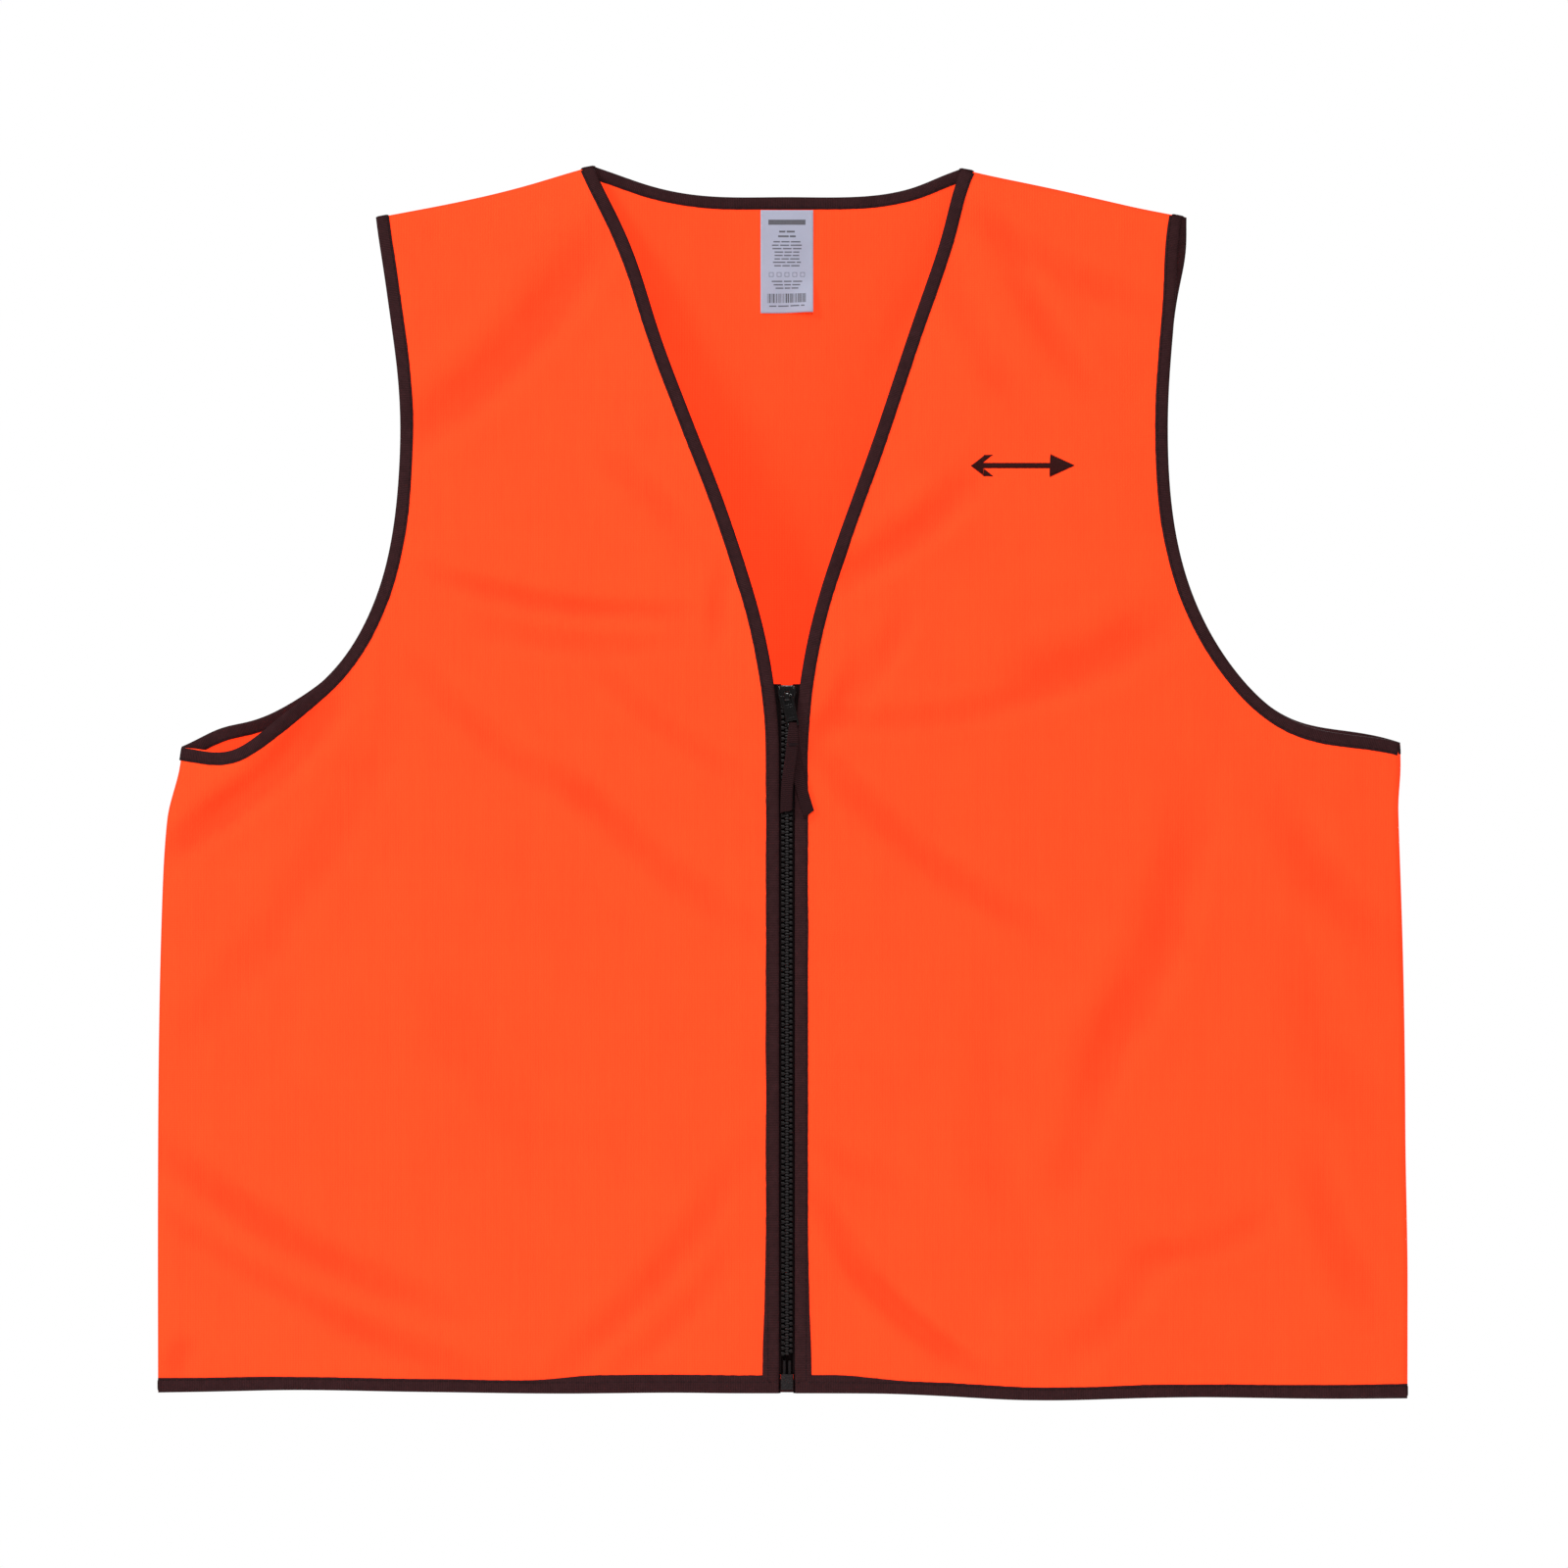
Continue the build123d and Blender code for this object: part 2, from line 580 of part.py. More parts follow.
# --- chest embroidery: an arrow of satin stitch, and the stabiliser behind the knit ------------
MOTIF_X = 122.0
MOTIF_Z = -153.0
ARROW = [(-27, 0), (-20, 5.5), (-15.5, 5.5), (-20.5, 1.4), (14, 1.4), (14, 6), (27, 0)]
with BuildPart() as chest_embroidery:
    add(shell(-1, FABRIC_HALF + 0.03, FABRIC_HALF + 0.53))
    with BuildSketch(Plane.XZ):
        upper = [(MOTIF_X + x, MOTIF_Z + z) for x, z in ARROW]
        lower = [(MOTIF_X + x, MOTIF_Z - z) for x, z in ARROW[-2:0:-1]]
        Polygon(*upper, *lower, align=None)
    extrude(amount=REACH, both=True, mode=Mode.INTERSECT)
write(chest_embroidery, "chest_embroidery")

with BuildPart() as embroidery_backing:
    add(shell(-1, -FABRIC_HALF - 0.33, -FABRIC_HALF - 0.03))
    with BuildSketch(Plane.XZ):
        with Locations((MOTIF_X, MOTIF_Z)):
            RectangleRounded(64, 22, 4)
    extrude(amount=REACH, both=True, mode=Mode.INTERSECT)
write(embroidery_backing, "embroidery_backing")
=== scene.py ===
"""Zip-front safety vest: its cloth, bindings, zip, pull, label and embroidery, made around the CAD frame."""
import math
import random

import bmesh
import bpy
import numpy as np
from mathutils import Matrix, Vector, noise


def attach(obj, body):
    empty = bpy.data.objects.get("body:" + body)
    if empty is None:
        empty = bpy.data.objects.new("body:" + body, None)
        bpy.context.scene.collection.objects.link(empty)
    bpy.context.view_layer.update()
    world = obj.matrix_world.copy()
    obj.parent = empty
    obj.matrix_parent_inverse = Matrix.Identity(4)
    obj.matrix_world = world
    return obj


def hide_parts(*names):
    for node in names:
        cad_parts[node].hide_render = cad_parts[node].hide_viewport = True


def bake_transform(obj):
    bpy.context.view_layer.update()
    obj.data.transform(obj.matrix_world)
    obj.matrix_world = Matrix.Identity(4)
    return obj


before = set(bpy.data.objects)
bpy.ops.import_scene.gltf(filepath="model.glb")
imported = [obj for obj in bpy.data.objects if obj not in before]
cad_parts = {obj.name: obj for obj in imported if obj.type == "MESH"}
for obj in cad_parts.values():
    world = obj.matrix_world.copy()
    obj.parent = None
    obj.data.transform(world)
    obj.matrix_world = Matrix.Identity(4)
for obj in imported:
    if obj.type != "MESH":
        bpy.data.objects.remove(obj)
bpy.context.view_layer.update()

# Shapes are worked out in millimetres and written to the meshes in metres.
MM = 0.001
random.seed(7)

# --- sizes shared with the CAD frame ------------------------------------------------
HALF_WIDTH = 318.0
LENGTH = 626.0
FULLNESS = {-1: 22.0, 1: 16.0}    # front and back
SEAM_Y = 0.45                     # each layer's distance from Y = 0 where the layers are sewn
CAD_GAP = 1.0
CLOSING_HEIGHT = 235.0
SHOULDER_DROP = 26.0
NECK_X = 96.0
SHOULDER_X = 207.0
ZIP_EDGE_X = 4.2
FRONT_EDGE = [
    (NECK_X, 0),
    (74, -55),
    (45, -140),
    (26.5, -190),
    (12.5, -235),
    (7, -264),
    (ZIP_EDGE_X, -300),
    (ZIP_EDGE_X, -315),
]
BACK_NECK = [(0, -15.5), (50, -14), (70, -9.5), (85, -4), (NECK_X, 0)]
SHOULDER_LINE = [(NECK_X, 0), (150, -14), (SHOULDER_X, -SHOULDER_DROP)]
UNDERARM = (313, -297)
FLANK = [(315, -350), (317, -415), (HALF_WIDTH, -500), (HALF_WIDTH, -LENGTH)]
DROP = {(-1, 1): 1.0, (-1, -1): 9.0, (1, 1): -1.0, (1, -1): -1.0}    # by layer and side
SIDE_NAME = {1: "left", -1: "right"}
FRONT_Y = -(CAD_GAP + FULLNESS[-1])
CHAIN_Y = FRONT_Y + 0.4


# --- camera, light and floor ----------------------------------------------------------
def make_camera():
    camera = bpy.data.objects.new("camera", bpy.data.cameras.new("camera"))
    bpy.context.scene.collection.objects.link(camera)
    camera.data.lens = 360
    camera.data.sensor_width = 36
    camera.data.clip_end = 30
    camera.location = (-0.0015, -8.02, -0.3155)
    camera.rotation_euler = (math.radians(90), 0, 0)
    bpy.context.scene.camera = camera


def make_area_light(name, place, aim, size, power):
    light = bpy.data.lights.new(name, "AREA")
    light.shape = "DISK"
    light.size = size
    light.energy = power
    lamp = bpy.data.objects.new(name, light)
    bpy.context.scene.collection.objects.link(lamp)
    lamp.location = place
    lamp.rotation_euler = (Vector(aim) - Vector(place)).to_track_quat("-Z", "Y").to_euler()


FLOOR_Z = -0.80
FLOOR_RADIUS = 1.5


def make_studio():
    world = bpy.data.worlds.new("studio")
    world.use_nodes = True
    tree = world.node_tree
    surround = tree.nodes["Background"]
    surround.inputs["Strength"].default_value = 0.27
    seen = tree.nodes.new("ShaderNodeBackground")
    seen.inputs["Color"].default_value = (1, 1, 1, 1)
    surround.inputs["Color"].default_value = (1, 1, 1, 1)
    path = tree.nodes.new("ShaderNodeLightPath")
    pick = tree.nodes.new("ShaderNodeMixShader")
    tree.links.new(path.outputs["Is Camera Ray"], pick.inputs["Fac"])
    tree.links.new(surround.outputs["Background"], pick.inputs[1])
    tree.links.new(seen.outputs["Background"], pick.inputs[2])
    tree.links.new(pick.outputs["Shader"], tree.nodes["World Output"].inputs["Surface"])
    bpy.context.scene.world = world
    bpy.context.scene.view_settings.view_transform = "Standard"
    make_area_light("key", (-2.6, -1.7, 1.9), (0, 0, -0.3), 1.0, 84)
    make_area_light("front", (0.1, -4.5, 2.0), (0, 0, -0.35), 0.8, 159)
    make_area_light("rear", (1.2, 2.4, 1.4), (0, 0, -0.3), 1.2, 120)

    bpy.ops.mesh.primitive_circle_add(
        vertices=96,
        radius=FLOOR_RADIUS,
        fill_type="NGON",
        location=(0, 0, FLOOR_Z),
    )
    floor = bpy.context.object
    floor.name = "floor"
    paint = bpy.data.materials.new("floor")
    paint.use_nodes = True
    paint.node_tree.nodes["Principled BSDF"].inputs["Base Color"].default_value = (0.93, 0.93, 0.93, 1)
    paint.node_tree.nodes["Principled BSDF"].inputs["Roughness"].default_value = 0.9
    floor.data.materials.append(paint)


make_camera()
make_studio()


# --- materials -------------------------------------------------------------------------
class Shader:
    """A Principled material and short calls that add nodes to it."""

    def __init__(self, name, roughness=0.8, **sockets):
        self.material = bpy.data.materials.new(name)
        self.material.use_nodes = True
        self.tree = self.material.node_tree
        self.body = self.tree.nodes["Principled BSDF"]
        self.body.inputs["Roughness"].default_value = roughness
        for socket, value in sockets.items():
            self.body.inputs[socket.replace("_", " ")].default_value = value

    def node(self, kind, **settings):
        made = self.tree.nodes.new(kind)
        for key, value in settings.items():
            setattr(made, key, value)
        return made

    def link(self, source, target):
        self.tree.links.new(source, target)

    def place(self, scale=(1, 1, 1), attribute=None):
        """Object coordinates in millimetres, or those of a named attribute, stretched by scale."""
        mapping = self.node("ShaderNodeMapping")
        if attribute:
            source = self.node("ShaderNodeAttribute", attribute_name=attribute).outputs["Vector"]
            mapping.inputs["Scale"].default_value = scale
        else:
            source = self.node("ShaderNodeTexCoord").outputs["Object"]
            mapping.inputs["Scale"].default_value = [s / MM for s in scale]
        self.link(source, mapping.inputs["Vector"])
        return mapping.outputs["Vector"]

    def noise(self, vector, scale, detail=3.0, rough=0.55):
        made = self.node("ShaderNodeTexNoise")
        made.inputs["Scale"].default_value = scale
        made.inputs["Detail"].default_value = detail
        made.inputs["Roughness"].default_value = rough
        self.link(vector, made.inputs["Vector"])
        return made.outputs["Fac"]

    def wave(self, vector, pitch, axis="X", profile="SIN", distortion=0.0, detail_scale=1.0):
        """Ridges at a pitch in the vector's own units. The wave node repeats every pi / 10 units."""
        made = self.node("ShaderNodeTexWave", bands_direction=axis, wave_profile=profile)
        made.inputs["Scale"].default_value = math.pi / 10 / pitch
        made.inputs["Distortion"].default_value = distortion
        made.inputs["Detail Scale"].default_value = detail_scale
        self.link(vector, made.inputs["Vector"])
        return made.outputs["Fac"]

    def math(self, operation, first, second):
        made = self.node("ShaderNodeMath", operation=operation)
        for socket, value in zip(made.inputs, (first, second)):
            if isinstance(value, (int, float)):
                socket.default_value = value
            else:
                self.link(value, socket)
        return made.outputs["Value"]

    def ramp(self, value, stops):
        made = self.node("ShaderNodeValToRGB")
        ramp = made.color_ramp
        while len(ramp.elements) < len(stops):
            ramp.elements.new(0.5)
        for element, (position, colour) in zip(ramp.elements, stops):
            element.position = position
            element.color = (*colour, 1)
        self.link(value, made.inputs["Fac"])
        return made.outputs["Color"]

    def colour(self, socket):
        self.link(socket, self.body.inputs["Base Color"])

    def rough(self, value, low, high):
        made = self.node("ShaderNodeMapRange")
        made.inputs["To Min"].default_value = low
        made.inputs["To Max"].default_value = high
        self.link(value, made.inputs["Value"])
        self.link(made.outputs["Result"], self.body.inputs["Roughness"])

    def bump(self, height, distance, strength=1.0):
        """Relief in millimetres."""
        made = self.node("ShaderNodeBump")
        made.inputs["Distance"].default_value = distance * MM
        made.inputs["Strength"].default_value = strength
        self.link(height, made.inputs["Height"])
        self.link(made.outputs["Normal"], self.body.inputs["Normal"])


def make_knit():
    """Fluorescent warp knit: fine upright wales, cross loops, a slight mottling and painted shade in the
    folds.
    """
    s = Shader("orange_knit", roughness=0.88, Specular_IOR_Level=0.1)
    # The dye fluoresces a little; the steady glow is also painted light that lifts the shade inside the
    # vest.
    s.body.inputs["Emission Color"].default_value = (1.0, 0.052, 0.0115, 1)
    s.body.inputs["Emission Strength"].default_value = 0.36
    at = s.place()
    wales = s.wave(at, 1.35, "X", distortion=0.35, detail_scale=0.4)
    loops = s.wave(at, 0.9, "Z", distortion=0.8, detail_scale=0.8)
    weave = s.math("ADD", s.math("MULTIPLY", wales, 0.7), s.math("MULTIPLY", loops, 0.3))
    streaks = s.noise(s.place((0.55, 0.55, 0.02)), 1.0, detail=4)
    mottling = s.noise(at, 0.035, detail=5, rough=0.6)
    tone = s.math("ADD", s.math("MULTIPLY", weave, 0.3), s.math("MULTIPLY", streaks, 0.3))
    tone = s.math("ADD", tone, s.math("MULTIPLY", mottling, 0.4))
    # Painted shade: the tone, and so the colour, is pulled towards the deep red-orange along the folds'
    # hollows, from each point's stored fold depth.
    fold_shade_amount = s.node("ShaderNodeAttribute", attribute_name="painted_fold_shade").outputs["Fac"]
    tone = s.math("SUBTRACT", tone, s.math("MULTIPLY", fold_shade_amount, 0.36))
    deep = (0.95, 0.034, 0.0062)
    s.colour(s.ramp(tone, [(0.06, deep), (0.40, (1.0, 0.0485, 0.0098)), (0.65, (1.0, 0.0560, 0.0112))]))
    s.rough(tone, 0.82, 0.94)
    s.bump(weave, 0.14, 0.6)
    return s.material


def make_binding():
    """Folded binding tape: fine crosswise ribs, pulled a little where it is stitched."""
    s = Shader("binding_tape", roughness=0.8, Specular_IOR_Level=0.08)
    along = s.place(attribute="cloth")
    ribs = s.wave(along, 0.85, "X", distortion=0.5, detail_scale=1.2)
    threads = s.wave(along, 0.45, "Y", distortion=0.3)
    weave = s.math("ADD", s.math("MULTIPLY", ribs, 0.7), s.math("MULTIPLY", threads, 0.3))
    wear = s.noise(s.place(), 0.25, detail=5, rough=0.65)
    tone = s.math("ADD", s.math("MULTIPLY", weave, 0.5), s.math("MULTIPLY", wear, 0.5))
    deep = (0.013, 0.0036, 0.0042)
    plain = (0.0290, 0.0088, 0.0098)
    worn = (0.040, 0.0150, 0.0170)
    s.colour(s.ramp(tone, [(0.25, deep), (0.55, plain), (0.85, worn)]))
    s.rough(tone, 0.68, 0.9)
    s.bump(weave, 0.16, 0.8)
    return s.material


def make_zip_tape():
    s = Shader("zip_tape", roughness=0.82, Specular_IOR_Level=0.06)
    at = s.place()
    weave = s.wave(at, 0.7, "Z", distortion=0.2)
    cords = s.wave(at, 0.9, "X")
    both = s.math("MULTIPLY", weave, cords)
    s.colour(s.ramp(both, [(0.1, (0.003, 0.0012, 0.0014)), (0.9, (0.009, 0.0042, 0.0046))]))
    s.rough(both, 0.75, 0.9)
    s.bump(both, 0.12)
    return s.material


def make_grained(name, roughness, specular, scale, detail, colours, rough, bump):
    """A surface where one fine grain drives the colour, the roughness and the relief."""
    s = Shader(name, roughness=roughness, Specular_IOR_Level=specular)
    grain = s.noise(s.place(), scale, detail=detail)
    s.colour(s.ramp(grain, colours))
    s.rough(grain, *rough)
    s.bump(grain, *bump)
    return s.material


def make_teeth():
    colours = [(0.3, (0.0035, 0.0022, 0.0024)), (0.8, (0.009, 0.0062, 0.0066))]
    return make_grained("moulded_teeth", 0.3, 0.13, 2.2, 4, colours, (0.26, 0.5), (0.05, 0.5))


def make_slider_enamel():
    colours = [(0.35, (0.0018, 0.0014, 0.0015)), (0.75, (0.005, 0.0040, 0.0043))]
    return make_grained("slider_metal", 0.2, 0.3, 1.4, 5, colours, (0.10, 0.22), (0.03, 0.4))


def make_film():
    colours = [(0.3, (0.005, 0.0038, 0.004)), (0.8, (0.022, 0.018, 0.019))]
    return make_grained("end_film", 0.25, 0.2, 1.8, 5, colours, (0.15, 0.4), (0.08, 0.6))


def make_ribbon():
    s = Shader("ribbon", roughness=0.78, Specular_IOR_Level=0.06)
    along = s.place(attribute="cloth")
    ribs = s.wave(along, 0.95, "X", distortion=0.15)
    fibres = s.noise(s.place((1, 1, 1), attribute="cloth"), 3.0, detail=4)
    tone = s.math("ADD", s.math("MULTIPLY", ribs, 0.7), s.math("MULTIPLY", fibres, 0.3))
    s.colour(s.ramp(tone, [(0.2, (0.009, 0.0026, 0.0030)), (0.85, (0.027, 0.0090, 0.0102))]))
    s.rough(tone, 0.65, 0.85)
    s.bump(ribs, 0.18, 0.9)
    return s.material


def make_thread(name, dark, light):
    colours = [(0.3, dark), (0.75, light)]
    return make_grained(name, 0.6, 0.1, 2.5, 3, colours, (0.45, 0.7), (0.05, 0.6))


def make_label_cloth():
    s = Shader("label_cloth", roughness=0.6, Specular_IOR_Level=0.2)
    at = s.place()
    weave = s.math("MULTIPLY", s.wave(at, 0.35, "X"), s.wave(at, 0.3, "Z"))
    clouds = s.noise(at, 0.08, detail=3)
    tone = s.math("ADD", s.math("MULTIPLY", weave, 0.4), s.math("MULTIPLY", clouds, 0.6))
    s.colour(s.ramp(tone, [(0.2, (0.30, 0.315, 0.40)), (0.8, (0.355, 0.375, 0.475))]))
    s.rough(tone, 0.45, 0.65)
    s.bump(weave, 0.04, 0.5)
    return s.material


def make_ink(name, dark, light):
    s = Shader(name, roughness=0.6)
    grain = s.noise(s.place(), 4.0, detail=4)
    s.colour(s.ramp(grain, [(0.35, dark), (0.75, light)]))
    return s.material


def make_stabiliser():
    s = Shader("stabiliser", roughness=0.9)
    fibres = s.noise(s.place((1, 1, 0.3)), 1.2, detail=6, rough=0.7)
    s.colour(s.ramp(fibres, [(0.3, (0.42, 0.42, 0.40)), (0.7, (0.55, 0.55, 0.53))]))
    s.bump(fibres, 0.1)
    return s.material


KNIT = make_knit()
BINDING = make_binding()
ZIP_TAPE = make_zip_tape()
TEETH = make_teeth()
ENAMEL = make_slider_enamel()
FILM = make_film()
RIBBON = make_ribbon()
DARK_THREAD = make_thread("thread", (0.005, 0.0018, 0.0022), (0.017, 0.0065, 0.008))
MOTIF_THREAD = make_thread("motif_thread", (0.012, 0.0010, 0.0010), (0.045, 0.0040, 0.0035))
LABEL = make_label_cloth()
INK = make_ink("label_ink", (0.045, 0.045, 0.06), (0.11, 0.11, 0.13))
STABILISER = make_stabiliser()


# --- curves and meshes -------------------------------------------------------------------
def smooth(points, count):
    """Evenly spaced points on the natural cubic spline through points."""
    known = np.array(points, float)
    if len(known) == 2:
        share = np.linspace(0, 1, count)[:, None]
        return known[0] * (1 - share) + known[1] * share
    t = np.concatenate([[0], np.cumsum(np.linalg.norm(np.diff(known, axis=0), axis=1))])
    gap = np.diff(t)
    last = len(t) - 1
    system = np.zeros((last + 1, last + 1))
    right = np.zeros_like(known)
    system[0, 0] = system[last, last] = 1
    for i in range(1, last):
        system[i, i - 1:i + 2] = gap[i - 1], 2 * (gap[i - 1] + gap[i]), gap[i]
        right[i] = 6 * ((known[i + 1] - known[i]) / gap[i] - (known[i] - known[i - 1]) / gap[i - 1])
    second = np.linalg.solve(system, right)
    dense = np.linspace(0, t[-1], 60 * last)
    i = np.clip(np.searchsorted(t, dense, side="right") - 1, 0, last - 1)
    h = gap[i][:, None]
    a = (t[i + 1] - dense)[:, None]
    b = (dense - t[i])[:, None]
    line = (
        second[i] * a**3 / (6 * h)
        + second[i + 1] * b**3 / (6 * h)
        + (known[i] / h - second[i] * h / 6) * a
        + (known[i + 1] / h - second[i + 1] * h / 6) * b
    )
    return even(line, count)


def even(line, count):
    """The same line with evenly spaced points."""
    run = np.concatenate([[0], np.cumsum(np.linalg.norm(np.diff(line, axis=0), axis=1))])
    wanted = np.linspace(0, run[-1], count)
    return np.stack([np.interp(wanted, run, line[:, k]) for k in range(line.shape[1])], axis=1)


def join(*lines):
    """Lines end to end, without the doubled points."""
    return np.concatenate([lines[0]] + [line[1:] for line in lines[1:]])


def mirrored(points, side):
    return [(side * x, z) for x, z in points]


def ease(value, low, high):
    share = min(1.0, max(0.0, (value - low) / (high - low)))
    return share * share * (3 - 2 * share)


def mesh_piece(name, points, faces, material, smooth_shading=True):
    """A mesh object from points in millimetres."""
    mesh = bpy.data.meshes.new(name)
    mesh.from_pydata([tuple(c * MM for c in p) for p in points], [], faces)
    mesh.materials.append(material)
    if smooth_shading:
        mesh.shade_smooth()
    else:
        mesh.shade_flat()
    piece = bpy.data.objects.new(name, mesh)
    bpy.context.scene.collection.objects.link(piece)
    return piece


def merged(name, parts, material):
    """One mesh from several (points, faces) shapes."""
    points = []
    faces = []
    for more, shape in parts:
        faces += [tuple(len(points) + i for i in face) for face in shape]
        points += more
    return mesh_piece(name, points, faces, material)


def tube_faces(rings, size, start=0):
    """Faces of a closed tube made of rings of points, capped at both ends."""
    faces = []
    for i in range(rings - 1):
        for k in range(size):
            a = start + i * size + k
            b = start + i * size + (k + 1) % size
            faces.append((a, b, b + size, a + size))
    faces.append(tuple(start + k for k in range(size))[::-1])
    faces.append(tuple(start + (rings - 1) * size + k for k in range(size)))
    return faces


def store_cloth(piece, along):
    """Keeps each point's place on its tape, for the weave: run, distance across and lift."""
    stored = piece.data.attributes.new("cloth", "FLOAT_VECTOR", "POINT")
    stored.data.foreach_set("vector", np.array(along, np.float32).ravel())


def apply_modifiers(piece):
    """The piece's mesh with its modifiers applied."""
    graph = bpy.context.evaluated_depsgraph_get()
    made = bpy.data.meshes.new_from_object(piece.evaluated_get(graph))
    piece.modifiers.clear()
    old = piece.data
    piece.data = made
    made.name = piece.name
    bpy.data.meshes.remove(old)


# --- the two cloth layers -------------------------------------------------------------------
def crown_height(x):
    slope = SHOULDER_DROP / (SHOULDER_X - NECK_X)
    return 4.0 - slope * max(0.0, abs(x) - NECK_X)


# Soft folds: both ends in the XZ plane, the fold's half width and its height.
FRONT_FOLDS = [
    ((-187, -135), (-97, -36), 13, -2.2),
    ((-172, -211), (-52, -228), 6, -1.7),
    ((-150, -238), (-60, -243), 7, -0.9),
    ((-30, -206), (-36, -246), 6, -1.0),
    ((-52, -190), (-92, -150), 8, -1.0),
    ((-309, -345), (-232, -274), 10, -3.0),
    ((-300, -440), (-205, -290), 12, -1.0),
    ((-184, -262), (-95, -330), 8, -1.2),
    ((-120, -300), (-24, -385), 9, -1.2),
    ((-90, -262), (-22, -312), 7, -1.0),
    ((-314, -505), (-176, -584), 10, -1.8),
    ((-314, -535), (-180, -606), 8, -1.2),
    ((-230, -590), (-140, -622), 10, -0.9),
    ((-112, -612), (-22, -505), 8, -1.4),
    ((-90, -618), (-30, -560), 7, -1.0),
    ((-180, -420), (-120, -500), 16, -0.8),
    ((-304, -600), (-312, -622), 8, -1.6),
    ((100, -24), (188, -72), 9, -1.3),
    ((112, -38), (156, -112), 8, -1.2),
    ((86, -60), (128, -132), 9, -0.8),
    ((25, -211), (96, -160), 9, -2.0),
    ((16, -290), (62, -226), 8, -1.3),
    ((14, -288), (40, -238), 6, -0.9),
    ((16, -284), (135, -268), 7, -1.1),
    ((18, -303), (124, -388), 9, -1.5),
    ((116, -264), (192, -233), 13, -2.0),
    ((156, -465), (206, -335), 14, -1.8),
    ((140, -520), (165, -430), 10, -0.8),
    ((256, -335), (309, -400), 13, -1.5),
    ((262, -400), (305, -500), 16, -0.8),
    ((16, -530), (95, -618), 8, -1.7),
    ((28, -560), (110, -616), 6, -1.0),
    ((14, -500), (60, -520), 8, -0.8),
    ((144, -604), (190, -550), 10, -1.2),
    ((185, -556), (250, -534), 8, -1.2),
    ((272, -512), (302, -588), 11, -1.4),
    ((102, -420), (118, -560), 12, -0.7),
]
BACK_FOLDS = [
    ((-198, -150), (-70, -290), 13, -1.8),
    ((198, -150), (70, -290), 13, -1.8),
    ((-290, -300), (-150, -430), 14, -2.0),
    ((290, -300), (150, -430), 14, -2.0),
    ((-120, -24), (-60, -120), 11, -1.4),
    ((120, -24), (60, -120), 11, -1.4),
    ((-120, -470), (60, -560), 14, -1.4),
    ((200, -480), (140, -620), 12, -1.2),
    ((-230, -520), (-190, -622), 12, -1.2),
    ((-40, -330), (40, -420), 16, -1.0),
]


def folds(layer, x, z):
    """Height of the creases alone."""
    total = 0.0
    for start, end, width, height in FRONT_FOLDS if layer < 0 else BACK_FOLDS:
        ax, az = end[0] - start[0], end[1] - start[1]
        length = math.hypot(ax, az)
        ax, az = ax / length, az / length
        ox, oz = x - start[0], z - start[1]
        t = (ox * ax + oz * az) / length
        if not -0.3 < t < 1.3:
            continue
        bow = 0.045 * length * math.sin(math.pi * t)
        across = abs(ox * az - oz * ax - bow) / width
        if across < 2.4:
            taper = ease(t, -0.3, 0.25) * (1 - ease(t, 0.65, 1.3))
            ridge = math.exp(-across * across)
            hollow = 0.35 * math.exp(-((across - 1.5) ** 2) * 2.5)
            total += height * taper * (ridge - hollow)
    return total


def calm(layer, x, z):
    """Fades the slackness out at the seams and beside the zip."""
    fade = ease(HALF_WIDTH - abs(x), 2, 34) * ease(crown_height(x) - z, 6, 50)
    if layer < 0:
        fade *= ease(abs(x), 10.5, 34)
    return fade


FOLD_DEPTH = 1.6


def fold_height(layer, x, z):
    """Soft folds and slackness of the hung cloth, outward in millimetres."""
    fade = calm(layer, x, z)
    if fade == 0.0:
        return 0.0
    total = 1.6 * noise.noise(Vector((x / 105, z / 140, 7.3 * layer)))
    total += 0.55 * noise.noise(Vector((x / 38, z / 52, 3.1 + 7.3 * layer)))
    return fade * (total + FOLD_DEPTH * folds(layer, x, z))


def surface_y(layer, x, z):
    """Middle of the front (-1) or back (1) cloth at (x, z)."""
    across = max(0.0, 1.0 - (x / HALF_WIDTH) ** 2)
    down = min(1.0, max(0.0, (crown_height(x) - z) / CLOSING_HEIGHT))
    gap = SEAM_Y + (CAD_GAP - SEAM_Y) * ease(across, 0.0, 0.06) * ease(down, 0.0, 0.06)
    depth = FULLNESS[layer] * across * math.sin(down * math.pi / 2)
    return layer * (gap + depth + fold_height(layer, x, z))


def outward(layer, x, z):
    """Unit normal of that layer, pointing out of the vest."""
    step = 0.5
    dx = (surface_y(layer, x + step, z) - surface_y(layer, x - step, z)) / (2 * step)
    dz = (surface_y(layer, x, z + step) - surface_y(layer, x, z - step)) / (2 * step)
    return Vector((-dx, 1.0, -dz)).normalized() * layer


def hem_drop(layer, x):
    """How far the hem hangs below its nominal height. The back shows a little below the front."""
    drop = 2.7 * ease(x, 30, 125) + 0.8 * math.exp(-(((x - 130) / 35) ** 2))
    drop -= 1.7 * math.exp(-(((x + 250) / 42) ** 2))
    drop += 0.3 * math.sin(x / 21.0 + 1.0) * ease(abs(x), 12, 60)
    if layer > 0:
        drop += 0.9 + 0.8 * math.exp(-(((x - 80) / 60) ** 2))
    return drop


